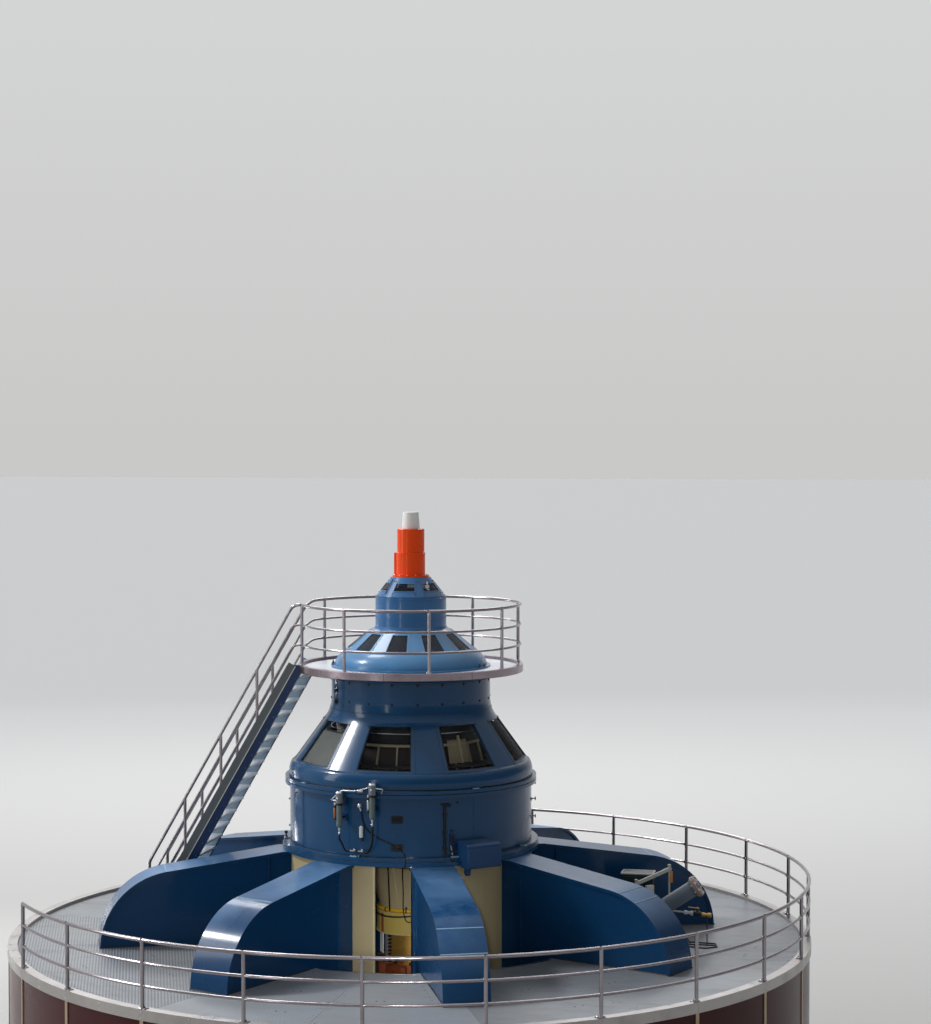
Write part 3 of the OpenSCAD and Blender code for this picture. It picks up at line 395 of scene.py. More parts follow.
# The rail steel is darkened and browned, with brown smudges: a painted dark reflection on the polished tubes.
RAIL_PAINTED_REFLECTION = metal("rail_steel_painted_reflection", "#989296", stretch=(6.0, 6.0, 6.0), low_rough=0.15, high_rough=0.24, lines=0.0, bump=0.0,
             dirt_and_reflection="#6b5b55", dirt_and_reflection_amount=0.45)
STEEL = metal("stainless", "#c3c6cb", low_rough=0.24, lines=0.12)
BAND = metal("band_metal", "#a8a4a2", stretch=(3.0, 3.0, 160.0), low_rough=0.28, high_rough=0.42)
EDGE_BAND = metal("platform_band_metal", "#8f848a", stretch=(3.0, 3.0, 120.0), low_rough=0.2, high_rough=0.34,
                  dirt_and_reflection="#5b4a48", dirt_and_reflection_amount=0.6)
TREAD = metal("tread_steel", "#d9dde2", low_rough=0.35, high_rough=0.5, bare=0.3)
PLATE = metal("platform_plate_metal", "#b7bac1", low_rough=0.3, high_rough=0.45, bare=0.5, dirt_and_reflection="#83786f",
              dirt_and_reflection_amount=0.4)
BRASS = metal("brass", "#c0974e", stretch=(4.0, 4.0, 420.0), low_rough=0.3, high_rough=0.42, bare=0.7)
COPPER = metal("copper_parts", "#a05a3a", stretch=(60.0, 60.0, 60.0), low_rough=0.4, high_rough=0.58,
               dirt_and_reflection="#3b241a", dirt_and_reflection_amount=0.7, bare=0.6)
COPPER_PIPE = metal("copper_pipe", "#b5714a", low_rough=0.28, high_rough=0.42)
BATTEN = metal("batten_metal", "#a8977c", stretch=(40.0, 40.0, 2.0), low_rough=0.35, high_rough=0.5)
CAP_METAL = metal("cap_metal", "#cfd1d4", low_rough=0.25, high_rough=0.4, lines=0.1)
DECK = deck_paint()
PANE = glass("window_pane", "#0c1116", 0.10)
DARK_PANE = glass("dark_pane", "#141b26", 0.45)

NODE_FINISHES = {
    "kerb": KERB, "drum_panels": MAROON, "battens": BATTEN, "foot_strip": BATTEN, "rim_band": BAND,
    "stator_frame": DARK_STEEL, "well_floor": DARK_STEEL, "well_edge": GREY, "deck_plates": DECK,
    "deck_rail_front": RAIL_PAINTED_REFLECTION, "deck_rail_right": RAIL_PAINTED_REFLECTION, "deck_rail_back": RAIL_PAINTED_REFLECTION,
    "collar_wall": CREAM, "brush_gear": COPPER, "collector_rings": BRASS, "ring_shroud": SHROUD,
    "ring_pipe": YELLOW, "shaft_hood": CREAM, "foot_flange": BLUE, "main_cylinder": BLUE,
    "shoulder_flange": BLUE, "window_cone": BLUE, "cone_glass": PANE, "inner_bell": BELL_DARK, "neck": BLUE,
    "platform": EDGE_BAND, "platform_rail": RAIL_PAINTED_REFLECTION, "pilot_base": BLUE_LIGHT, "pilot_cone": BLUE_LIGHT,
    "pilot_glass": DARK_PANE, "pilot_cylinder": BLUE_CAP, "cap_cone": BLUE_CAP, "cap_glass": DARK_PANE,
    "orange_cover": ORANGE, "white_marker": WHITE, "stair_stringers": NAVY, "stair_treads": TREAD,
    "stair_rail_near": RAIL_PAINTED_REFLECTION, "stair_rail_far": RAIL_PAINTED_REFLECTION, "junction_box": NAVY, "air_filters": GREY,
    "drain_pipe": PIPE_GREY, "control_box": DARK,
}
NODE_FINISHES.update({f"bracket_arm_{i}": BLUE_ARM for i in range(1, 9)})

for node, finish in NODE_FINISHES.items():
    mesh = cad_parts[node].data
    mesh.materials.clear()
    mesh.materials.append(finish)


# Shapes

def at(radius, azimuth, z):
    """The point at that radius from the shaft, azimuth in degrees and height."""
    a = math.radians(azimuth)
    return Vector((radius * math.cos(a), radius * math.sin(a), z))


def outward(azimuth, rise=0.0):
    """The direction away from the shaft, raised by some degrees."""
    a, e = math.radians(azimuth), math.radians(rise)
    return Vector((math.cos(a) * math.cos(e), math.sin(a) * math.cos(e), math.sin(e)))


def sideways(azimuth):
    """The direction along the circle, counter-clockwise."""
    return outward(azimuth + 90)


def up(above_rim):
    """A height above the floor, from one above the rim."""
    return RIM_Z + above_rim


UP = Vector((0, 0, 1))
ALONG_X = Vector((1, 0, 0))
ALONG_Y = Vector((0, 1, 0))


def axes_for(axis):
    """Two directions square to axis and to each other."""
    axis = axis.normalized()
    across = axis.cross(UP)
    if across.length < 0.05:
        across = axis.cross(ALONG_X)
    across.normalize()
    return across, axis.cross(across).normalized()


def rounded(points, radius, steps=6):
    """The path through points with its corners rounded."""
    path = [Vector(points[0])]
    for before, corner, after in zip(points, points[1:], points[2:]):
        before, corner, after = Vector(before), Vector(corner), Vector(after)
        back, on = before - corner, after - corner
        reach = min(radius, back.length * 0.49, on.length * 0.49)
        start, end = corner + back.normalized() * reach, corner + on.normalized() * reach
        for i in range(steps + 1):
            t = i / steps
            path.append(start * (1 - t) ** 2 + corner * (2 * t * (1 - t)) + end * t ** 2)
    path.append(Vector(points[-1]))
    return path


def flowing(points, steps=8):
    """A smooth curve through the points."""
    points = [Vector(p) for p in points]
    ends = [points[0] * 2 - points[1]] + points + [points[-1] * 2 - points[-2]]
    path = []
    for a, b, c, d in zip(ends, ends[1:], ends[2:], ends[3:]):
        for i in range(steps):
            t = i / steps
            path.append(0.5 * (2 * b + (c - a) * t + (2 * a - 5 * b + 4 * c - d) * t ** 2
                               + (3 * b - a - 3 * c + d) * t ** 3))
    path.append(points[-1])
    return path


def rectangle(width, height, corner, steps=4):
    """The outline of a rectangle with round corners, as (across, along) pairs."""
    outline = []
    for turn, (sx, sy) in enumerate([(1, 1), (-1, 1), (-1, -1), (1, -1)]):
        cx, cy = sx * (width / 2 - corner), sy * (height / 2 - corner)
        for i in range(steps + 1):
            a = math.radians(90 * turn + 90 * i / steps)
            outline.append((cx + corner * math.cos(a), cy + corner * math.sin(a)))
    return outline


class Shape:
    """Collects the faces of one piece."""

    def __init__(self):
        self.points = []
        self.faces = []

    def rings(self, rings, caps=True, closed=True, endless=False):
        """Skins a row of point rings."""
        first = len(self.points)
        size = len(rings[0])
        for ring in rings:
            self.points.extend(ring)
        count = len(rings)
        for i in range(count if endless else count - 1):
            low_ring = first + i * size
            high_ring = first + (i + 1) % count * size
            for k in range(size if closed else size - 1):
                n = (k + 1) % size
                self.faces.append((low_ring + k, low_ring + n, high_ring + n, high_ring + k))
        if caps and not endless:
            self.faces.append(tuple(range(first + size - 1, first - 1, -1)))
            self.faces.append(tuple(range(first + (count - 1) * size, first + count * size)))
        return self

    def turned(self, foot, axis, profile, sides=20):
        """A solid turned round an axis: profile is a row of (radius, distance along the axis)."""
        axis = Vector(axis).normalized()
        across, over = axes_for(axis)
        rings = []
        for radius, along in profile:
            centre = Vector(foot) + axis * along
            rings.append([centre + across * (radius * math.cos(2 * math.pi * k / sides))
                          - over * (radius * math.sin(2 * math.pi * k / sides)) for k in range(sides)])
        return self.rings(rings)

    def tube(self, path, radius, sides=10, caps=True):
        """A round bar along a path."""
        path = [Vector(p) for p in path]
        rings = []
        across = None
        for i, point in enumerate(path):
            along = (path[min(i + 1, len(path) - 1)] - path[max(i - 1, 0)]).normalized()
            if across is None:
                across = axes_for(along)[0]
            across = (across - along * across.dot(along)).normalized()
            over = along.cross(across)
            rings.append([point + across * (radius * math.cos(2 * math.pi * k / sides))
                          + over * (radius * math.sin(2 * math.pi * k / sides)) for k in range(sides)])
        return self.rings(rings, caps=caps)

    def slab(self, centre, width_way, height_way, width, height, depth, corner=0.01, edge=0.004):
        """A plate with round corners and softened edges. Its depth goes from centre along width x height."""
        width_way, height_way = Vector(width_way).normalized(), Vector(height_way).normalized()
        out = width_way.cross(height_way)
        corner = min(corner, width * 0.49, height * 0.49)
        rings = []
        for inset, along in ((edge, 0), (0, edge), (0, depth - edge), (edge, depth)):
            outline = rectangle(width - 2 * inset, height - 2 * inset, max(corner - inset, 0.0005))
            rings.append([Vector(centre) + width_way * x + height_way * y + out * along for x, y in outline])
        return self.rings(rings)

    def bolt(self, foot, axis, size=0.012, washer=True):
        """A hexagon head, size from its middle to a corner, on a washer."""
        start = 0
        if washer:
            self.turned(foot, axis, [(size * 1.5, 0), (size * 1.5, size * 0.22), (size * 1.42, size * 0.3)], 14)
            start = size * 0.3
        return self.turned(foot, axis, [(size, start), (size, start + size * 0.75),
                                        (size * 0.82, start + size * 0.95)], 6)

    def dome(self, foot, axis, size=0.01, sides=10):
        """A round screw head."""
        return self.turned(foot, axis, [(size, 0), (size * 0.92, size * 0.3), (size * 0.62, size * 0.52),
                                        (size * 0.2, size * 0.6)], sides)

    def lathe(self, profile, start=0.0, end=360.0, steps=128):
        """A closed (radius, height) outline swept round the shaft from one azimuth to another."""
        whole = end - start >= 360
        count = steps if whole else steps + 1
        rings = [[at(r, start + (end - start) * i / steps, z) for r, z in profile] for i in range(count)]
        return self.rings(rings, caps=not whole, endless=whole)

    def cone_sheet(self, surface, low_z, high_z, low_arc, high_arc, lift, steps=8):
        """A bent plate on a cone: arcs are (from, to) azimuths; lift is (under, top) off the surface."""
        rings = []
        for i in range(steps + 1):
            t = i / steps
            ring = []
            for z, arc, off in ((low_z, low_arc, lift[0]), (high_z, high_arc, lift[0]),
                                (high_z, high_arc, lift[1]), (low_z, low_arc, lift[1])):
                azimuth = arc[0] + (arc[1] - arc[0]) * t
                ring.append(at(surface(z) + off, azimuth, z))
            rings.append(ring)
        return self.rings(rings)

    def made(self, name, finish, slot, sharp=35.0):
        """Turns the collected faces into the piece."""
        mesh = bpy.data.meshes.new(name)
        mesh.from_pydata([tuple(p) for p in self.points], [], self.faces)
        mesh.validate()
        shell = bmesh.new()
        shell.from_mesh(mesh)
        bmesh.ops.recalc_face_normals(shell, faces=shell.faces)
        shell.to_mesh(mesh)
        shell.free()
        mesh.shade_smooth()
        mesh.set_sharp_from_angle(angle=math.radians(sharp))
        mesh.materials.append(finish)
        made = bpy.data.objects.new(name, mesh)
        bpy.context.scene.collection.objects.link(made)
        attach(made, "root")
        return made

    def plate(self, radius, azimuth, z, *sizes):
        """A slab that stands upright and faces outward, at this radius and azimuth."""
        self.slab(at(radius, azimuth, z), sideways(azimuth), UP, *sizes)

    def stud(self, radius, azimuth, z, *form):
        """A turned form that points outward, at this radius and azimuth."""
        self.turned(at(radius, azimuth, z), outward(azimuth), *form)


def shapes(count):
    """This many empty shapes, for the pieces of one fitting."""
    return [Shape() for _ in range(count)]


# Drum and deck

PANELS = 24
PANEL_TURN = 7.5
ARMS = 8
ARM_TURN = 22.5
ARM_HALF_W = 0.33
DECK_POSTS = 18
FIRST_POST = -142.5
POST_STEP = 15
DECK_RAIL_R = WALL_R - 0.022
LEDGE_R = 5.95
BATTEN_FACE_R = high("battens").x
PLATFORM_RAIL_R = PLATFORM_R - 0.044
PLATFORM_EDGE_Z = RIM_Z + 4.106
DECK_LOWER_HALF = 0.021
DECK_POST_HALF = 0.027
POST_HALF = 0.024


def arm_azimuths():
    return [ARM_TURN + i * 360 / ARMS for i in range(ARMS)]


def batten_screws():
    """Round screw heads up each batten and along the foot strip."""
    screws = Shape()
    levels = [0.32 + 0.288 * i for i in range(12)]
    for i in range(PANELS):
        azimuth = PANEL_TURN + i * 360 / PANELS
        for z in levels:
            screws.dome(at(BATTEN_FACE_R, azimuth, z), outward(azimuth), 0.009, 8)
        for offset in (-4.6, 0, 4.6):
            screws.dome(at(high("foot_strip").x, azimuth + offset, high("foot_strip").z - 0.035),
                        outward(azimuth + offset), 0.009, 8)
    screws.made("batten_screws", STEEL, "batten_metal")


def rim_screws():
    """Countersunk screws that hold the rim band, two at each panel joint."""
    screws = Shape()
    for i in range(PANELS * 2):
        azimuth = PANEL_TURN + i * 180 / PANELS
        for z in (RIM_Z - 0.035, RIM_Z - 0.115):
            screws.dome(at(RIM_R, azimuth, z), outward(azimuth), 0.011, 10)
    screws.made("rim_band_screws", STEEL, "rim_metal")


def rail_feet():
    """Base plates of the handrail posts, each with two bolts and a sleeve round the post."""
    feet, bolts = shapes(2)
    for i in range(DECK_POSTS):
        azimuth = FIRST_POST + i * POST_STEP
        out, along = outward(azimuth), sideways(azimuth)
        feet.slab(at(DECK_RAIL_R - 0.012, azimuth, RIM_Z), out, along, 0.088, 0.13, 0.010, 0.012, 0.003)
        feet.turned(at(DECK_RAIL_R, azimuth, RIM_Z + 0.009), UP,
                    [(DECK_POST_HALF + 0.008, 0), (DECK_POST_HALF + 0.008, 0.016), (DECK_POST_HALF + 0.001, 0.026)], 24)
        for side in (-0.048, 0.048):
            bolts.bolt(at(DECK_RAIL_R - 0.012, azimuth, RIM_Z + 0.010) + along * side, UP, 0.009)
    for i in range(ARMS):
        azimuth = ARM_TURN + i * 45
        feet.turned(at(PLATFORM_RAIL_R, azimuth, PLATFORM_EDGE_Z), UP,
                    [(0.041, 0), (0.041, 0.007), (0.031, 0.010), (POST_HALF + 0.001, 0.022)], 24)
        for side in (-0.032, 0.032):
            bolts.bolt(at(PLATFORM_RAIL_R, azimuth, PLATFORM_EDGE_Z + 0.007) + sideways(azimuth) * side, UP, 0.006)
    feet.made("handrail_post_feet", RAIL_PAINTED_REFLECTION, "stainless")
    bolts.made("handrail_foot_bolts", STEEL, "stainless")


def rail_joints():
    """Weld sleeves where each rail of the deck meets a post."""
    sleeves = Shape()
    for i in range(DECK_POSTS):
        azimuth = FIRST_POST + i * POST_STEP
        for level in (1, 2):
            z = RIM_Z + 0.914 * level / 3
            for side in (-1, 1):
                foot = at(DECK_RAIL_R, azimuth, z) + sideways(azimuth) * side * (DECK_POST_HALF - 0.002)
                sleeves.turned(foot, sideways(azimuth) * side,
                               [(DECK_LOWER_HALF + 0.004, 0), (DECK_LOWER_HALF + 0.0005, 0.009)], 20)
    sleeves.made("handrail_welds", RAIL_PAINTED_REFLECTION, "stainless")


def deck_screws():
    """Screws of the deck plates: along the arms, along the joints between arms and round the edge."""
    screws, plugs = shapes(2)
    for azimuth in arm_azimuths():
        out, along = outward(azimuth), sideways(azimuth)
        for i in range(9):
            for side in (-1, 1):
                place = out * (2.95 + 0.2 * i) + along * side * (ARM_HALF_W + 0.075) + UP * DECK_Z
                screws.turned(place, UP, [(0.012, 0), (0.0105, 0.002)], 10)
        middle = azimuth + 22.5
        out, along = outward(middle), sideways(middle)
        for i in range(8):
            for side in (-1, 1):
                place = out * (3.0 + 0.38 * i) + along * side * 0.06 + UP * DECK_Z
                screws.turned(place, UP, [(0.011, 0), (0.0095, 0.002)], 10)
        for shift, reach in ((-9, 4.1), (8, 4.4), (-6, 5.2), (5, 3.4)):
            for pair in (-0.7, 0.7):
                plugs.turned(at(reach, middle + shift + pair, DECK_Z), UP, [(0.017, 0), (0.015, 0.003)], 12)
    for i in range(120):
        screws.turned(at(LEDGE_R - 0.075, i * 3.0 + 1.5, DECK_Z), UP, [(0.011, 0), (0.0095, 0.002)], 10)
    screws.made("deck_screws", DARK_STEEL, "deck_paint")
    plugs.made("deck_lifting_plugs", DARK_STEEL, "deck_paint")


def well_edge_angle():
    """Low angle bar that edges the deck round the well between the arms."""
    bar = Shape()
    for i in range(ARMS):
        middle = i * 45.0
        bar.lathe([(WELL_R + 0.002, DECK_Z), (WELL_R + 0.045, DECK_Z), (WELL_R + 0.045, DECK_Z + 0.006),
                   (WELL_R + 0.006, DECK_Z + 0.008), (WELL_R + 0.002, DECK_Z + 0.004)],
                  middle - 14.5, middle + 14.5, 24)
    bar.made("well_edge_bars", BAND, "rim_metal")


batten_screws()
rim_screws()
rail_feet()
rail_joints()
deck_screws()
well_edge_angle()


# Arms

ARM_FLAT_R = 2.02
ARM_SLOPE = math.radians(8)
ARM_END_R = 4.74
ARM_BEND_R = 1.15
BEND_START_R = ARM_END_R - ARM_BEND_R * (1 - math.sin(ARM_SLOPE))
BEND_START_Z = ARM_Z - (BEND_START_R - ARM_FLAT_R) * math.tan(ARM_SLOPE)
BEND_CENTRE = (ARM_END_R - ARM_BEND_R, BEND_START_Z - ARM_BEND_R * math.cos(ARM_SLOPE))


def on_bend(degrees, lift=0.0):
    """(radius, height) on the arm's curved top, 90 degrees being level and 0 upright."""
    a = math.radians(degrees)
    return (BEND_CENTRE[0] + (ARM_BEND_R + lift) * math.cos(a), BEND_CENTRE[1] + (ARM_BEND_R + lift) * math.sin(a))


def arm_point(azimuth, reach, side, z):
    return outward(azimuth) * reach + sideways(azimuth) * side + UP * z


ARM_SEAMS = ((82,), (82,), (57, 36), (74, 60))


def arm_welds():
    """Ground weld beads across the top flange, where its bent plate joins the straight one and the foot plate. Their
    pale blue is a painted highlight, the bright line along each seam.
    """
    beads = Shape()
    for i, azimuth in enumerate(arm_azimuths()):
        for degrees in ARM_SEAMS[i % 4]:
            r, z = on_bend(degrees, -0.003)
            beads.tube([arm_point(azimuth, r, side * (ARM_HALF_W - 0.004), z) for side in (-1, -0.5, 0, 0.5, 1)],
                       0.010, 8)
    beads.made("arm_weld_beads", PALE_BLUE_HIGHLIGHT, "blue_paint")


def arm_seals():
    """Dark sealing bead round the foot of each arm, where it passes through the deck plates."""
    seal = Shape()
    for azimuth in arm_azimuths():
        path = [arm_point(azimuth, WELL_R + 0.02, -ARM_HALF_W + 0.028, DECK_Z + 0.004),
                arm_point(azimuth, ARM_END_R - 0.04, -ARM_HALF_W + 0.028, DECK_Z + 0.004)]
        seal.tube(path, 0.011, 6)
        seal.tube([p + sideways(azimuth) * (2 * ARM_HALF_W - 0.056) for p in path], 0.011, 6)
        end = [arm_point(azimuth, ARM_END_R + 0.004, side * ARM_HALF_W, DECK_Z + 0.004) for side in (-1, 1)]
        seal.tube(end, 0.011, 6)
    seal.made("arm_foot_seals", BLACK, "black_kerb")


arm_welds()
arm_seals()


# Collar and slip rings

COLLAR_R = high("collar_wall").x
ACCESS_FROM = -92.7
ACCESS_TO = -76.2
RING_R = 0.40
SHROUD_R = 0.53
RING_TOP_Z = high("collector_rings").z
RING_LOW_Z = low("collector_rings").z
SHROUD_TOP_Z = high("ring_shroud").z
BRUSH_Z = high("brush_gear").z
HOOD_R = 0.46


def access_trims():
    """Edge strips with rows of screws at each access opening of the collar, and the seams of its wall."""
    trims, seams, screws = shapes(3)
    for turn in range(4):
        for edge, way in ((ACCESS_FROM, -1), (ACCESS_TO, 1)):
            azimuth = edge + 90 * turn
            trims.lathe([(COLLAR_R + 0.001, WELL_Z), (COLLAR_R + 0.009, WELL_Z), (COLLAR_R + 0.009, ARM_Z - 0.002),
                         (COLLAR_R + 0.001, ARM_Z - 0.002)], azimuth + min(0, way * 0.9), azimuth + max(0, way * 0.9),
                         3)
            for k in range(8):
                screws.dome(at(COLLAR_R + 0.009, azimuth + way * 0.45, WELL_Z + 0.15 + 0.26 * k),
                            outward(azimuth + way * 0.45), 0.007, 8)
    for azimuth in (-57.0, -44.0, -123.0, -102.0, 44.0, 57.0, 123.0, 136.0, -136.0):
        seams.lathe([(COLLAR_R + 0.0005, WELL_Z), (COLLAR_R + 0.003, WELL_Z), (COLLAR_R + 0.003, ARM_Z - 0.002),
                     (COLLAR_R + 0.0005, ARM_Z - 0.002)], azimuth - 0.08, azimuth + 0.08, 1)
    trims.made("access_edge_strips", CREAM_TRIM, "cream_paint")
    seams.made("collar_wall_seams", BELL, "cream_paint")
    screws.made("access_strip_screws", BRASS, "ring_brass")


def shroud_details():
    """Bands, and three upright strips with double rows of copper studs on the shroud over the rings."""
    bands, studs = shapes(2)
    for z in (SHROUD_TOP_Z - 0.012, RING_TOP_Z + 0.004):
        bands.lathe([(SHROUD_R, z), (SHROUD_R + 0.007, z + 0.002), (SHROUD_R + 0.007, z + 0.010),
                     (SHROUD_R, z + 0.012)])
    for azimuth in (-131, -11, 109):
        foot = at(SHROUD_R, azimuth, RING_TOP_Z + 0.02)
        studs.slab(foot + UP * 0.145, sideways(azimuth), UP, 0.052, 0.29, 0.008, 0.006, 0.002)
        for k in range(9):
            for side in (-1, 1):
                place = at(SHROUD_R + 0.008, azimuth, RING_TOP_Z + 0.035 + 0.033 * k) + sideways(azimuth) * side * 0.013
                studs.bolt(place, outward(azimuth), 0.010, False)
    bands.made("shroud_bands", CREAM_TRIM, "cream_paint")
    studs.made("shroud_stud_rows", COPPER, "brush_copper")


def ring_pipe_details():
    """Valve, clips and the black hose of the yellow ring pipe."""
    pipe_z = (low("ring_pipe").z + high("ring_pipe").z) / 2
    pipe_r = high("ring_pipe").x - 0.03
    clips, valve = shapes(2)
    for azimuth in range(-165, 195, 40):
        clips.turned(at(pipe_r, azimuth, pipe_z) - sideways(azimuth) * 0.012, sideways(azimuth),
                     [(0.034, 0), (0.034, 0.024)], 20)
    hose_r = SHROUD_R + 0.018
    hose = [at(hose_r, a, SHROUD_TOP_Z - 0.035 - 0.03 * math.sin(math.radians((a + 165) * 2))) for a in range(-165,
            -14, 10)]
    valve.tube(hose, 0.013, 10)
    place = at(pipe_r + 0.02, -168, pipe_z - 0.01)
    valve.turned(place - UP * 0.045, UP, [(0.022, 0), (0.030, 0.012), (0.030, 0.05), (0.018, 0.062), (0.018, 0.09)], 16)
    valve.turned(place + UP * 0.045, sideways(-168), [(0.011, -0.05), (0.014, -0.045), (0.014, 0.045), (0.011, 0.05)],
                 10)
    valve.turned(at(pipe_r, -85, pipe_z + 0.02), UP, [(0.018, 0), (0.020, 0.02), (0.012, 0.034), (0.012, 0.045)], 12)
    clips.made("ring_pipe_clips", DARK_STEEL, "dark_steel")
    valve.made("ring_pipe_valve_and_hose", BLACK, "dark_steel")


def brush_holders():
    """Brush holders round the collector: dark blocks, copper leads and pale insulators."""
    blocks, leads, posts, pale = shapes(4)
    for i in range(12):
        azimuth = i * 30 + 15
        for k, z in enumerate((BRUSH_Z + 0.004, BRUSH_Z + 0.062)):
            place = at(RING_R + 0.055, azimuth + 4 * (k - 0.5), z + 0.024)
            blocks.slab(place, sideways(azimuth), UP, 0.055, 0.042, 0.052, 0.006, 0.003)
            start = place + outward(azimuth) * 0.05
            sag = start + outward(azimuth) * 0.03 + UP * (0.022 if k else -0.012)
            leads.tube(flowing([start, sag, place + sideways(azimuth) * 0.055 + outward(azimuth) * 0.045], 5), 0.0065,
                       6)
        leads.plate(RING_R + 0.03, azimuth + 9, BRUSH_Z + 0.05, 0.05, 0.016, 0.09, 0.004, 0.002)
    for azimuth in (-131, -11, 109):
        out, along = outward(azimuth), sideways(azimuth)
        posts.slab(at(RING_R + 0.035, azimuth, (BRUSH_Z + RING_TOP_Z) / 2), along, UP, 0.055, RING_TOP_Z - BRUSH_Z,
                   0.035,
                   0.006, 0.003)
        for k in range(8):
            place = at(RING_R + 0.02, azimuth + 8, RING_LOW_Z + 0.04 + 0.055 * k)
            blocks.slab(place, along, UP, 0.030, 0.026, 0.06, 0.004, 0.002)
            leads.tube(flowing([place + out * 0.055, place + out * 0.085 - along * 0.02,
                                at(RING_R + 0.072, azimuth, place.z)], 4),
                       0.005, 6)
        pale.plate(RING_R + 0.06, azimuth - 19, RING_TOP_Z - 0.17, 0.17, 0.32, 0.012, 0.01, 0.003)
    blocks.made("brush_holders", BLACK, "dark_steel")
    leads.made("brush_leads", COPPER, "brush_copper")
    posts.made("brush_posts", GREY, "dark_steel")
    pale.made("brush_insulator_panels", WHITE, "white_plastic")


def hood_details():
    """Bright straps down the shaft hood and a thin dark rod beside them."""
    straps, rod = shapes(2)
    span = ARM_Z - SHROUD_TOP_Z
    for azimuth in (-100, -78, -20, 40, 100, 160):
        low_end = at(HOOD_R + 0.006, azimuth, SHROUD_TOP_Z + 0.07)
        high_end = at(HOOD_R + 0.300 * (span - 0.02) / span + 0.006, azimuth, ARM_Z - 0.02)
        straps.tube([low_end, high_end], 0.012, 10)
    rod.tube([at(HOOD_R + 0.10, -112, SHROUD_TOP_Z + 0.03), at(HOOD_R + 0.29, -105, ARM_Z - 0.01)], 0.012, 10)
    straps.made("hood_straps", CREAM_TRIM, "cream_paint")
    rod.made("hood_dark_rod", BLACK, "dark_steel")


access_trims()
shroud_details()
ring_pipe_details()
brush_holders()
hood_details()


# Main housing

SHOULDER_T = CROWN_Z - SHOULDER_Z
CONE_LOW_Z = low("cone_glass").z - 0.028
CONE_LOW_R = 1.780
CONE_HIGH_Z = CONE_END_Z + 0.028
CONE_HIGH_R = 1.305
WINDOW_HALF = 13.5
WINDOW_LOW_Z = CONE_LOW_Z + 0.028
WINDOW_HIGH_Z = CONE_HIGH_Z - 0.028
CONE_RISE = math.degrees(math.atan2(CONE_LOW_R - CONE_HIGH_R, CONE_HIGH_Z - CONE_LOW_Z))


def cone_r(z):
    """Outer radius of the window cone."""
    return CONE_LOW_R + (CONE_HIGH_R - CONE_LOW_R) * (z - CONE_LOW_Z) / (CONE_HIGH_Z - CONE_LOW_Z)


def flange_gap_shades():
    """Dark rings in the gaps between the bolted rings at the foot and the shoulder, and under the crown: painted shade,
    where light does not reach into these grooves.
    """
    lines = Shape()
    for r, z, t in ((FOOT_FLANGE_R - 0.0165, ARM_Z + 0.060, 0.007), (BODY_R + 0.001, BODY_Z, 0.008),
                    (SHOULDER_R - 0.0195, SHOULDER_Z + SHOULDER_T / 2 - 0.006, 0.012),
                    (BODY_R + 0.0155, CROWN_Z, 0.014)):
        lines.lathe([(r - 0.004, z), (r + 0.002, z), (r + 0.002, z + t), (r - 0.004, z + t)])
    lines.made("flange_gap_painted_shade", BLACK, "dark_steel")


def foot_clamps():
    """Small clamps that hold the foot flange and the shoulder flange, each with two bolts."""
    clamps, bolts = shapes(2)
    rest = ARM_Z + 0.120
    for azimuth in (-164, -102.5, -57, -13.8, 33, 78, 123, 168):
        place = at(BODY_R + 0.052, azimuth, rest)
        clamps.slab(place, outward(azimuth), sideways(azimuth), 0.085, 0.11, 0.016, 0.01, 0.003)
        for side in (-0.032, 0.032):
            bolts.bolt(place + UP * 0.016 + sideways(azimuth) * side, UP, 0.011)
    for azimuth in (-133.5, -46.5, 46.5, 133.5):
        place = at(BODY_R + 0.045, azimuth, CROWN_Z)
        clamps.slab(place, outward(azimuth), sideways(azimuth), 0.055, 0.10, 0.012, 0.008, 0.003)
        for side in (-0.03, 0.03):
            bolts.bolt(place + UP * 0.012 + sideways(azimuth) * side, UP, 0.010)
    place = at(FOOT_FLANGE_R - 0.05, -164, rest + 0.016)
    bolts.turned(place, UP, [(0.012, 0), (0.012, 0.05), (0.026, 0.06), (0.026, 0.085), (0.014, 0.095)], 14)
    # The clamps are in the pale blue of the weld beads' painted highlight.
    clamps.made("flange_clamps", PALE_BLUE_HIGHLIGHT, "blue_paint")
    bolts.made("flange_clamp_bolts", DARK_STEEL, "dark_steel")


def body_seams():
    """Upright seams of the main cylinder's plates, small handles and a bolt."""
    seams, handles = shapes(2)
    for azimuth in (-46.9, 43.1, 133.1, -136.9):
        seams.lathe([(BODY_R - 0.002, BODY_Z), (BODY_R + 0.0025, BODY_Z), (BODY_R + 0.0025, SHOULDER_Z - 0.001),
                     (BODY_R - 0.002, SHOULDER_Z - 0.001)], azimuth - 0.09, azimuth + 0.09, 1)
    for azimuth in (-82.9, 7.1 + 90, 7.1 + 180):
        for z in (up(1.99), up(1.58)):
            foot = at(BODY_R, azimuth, z)
            along, out = sideways(azimuth), outward(azimuth)
            handles.slab(foot - out * 0.004, along, UP, 0.175, 0.110, 0.012, 0.02, 0.004)
            handles.tube(rounded([foot - along * 0.055, foot - along * 0.055 + out * 0.035,
                                  foot + along * 0.055 + out * 0.035, foot + along * 0.055], 0.02), 0.009, 10)
    for azimuth in (-55, 35, 125, -145):
        handles.bolt(at(BODY_R, azimuth, up(2.22)), outward(azimuth), 0.011)
    seams.made("body_plate_seams", NAVY, "blue_paint")
    handles.made("body_handles", BLACK, "dark_steel")


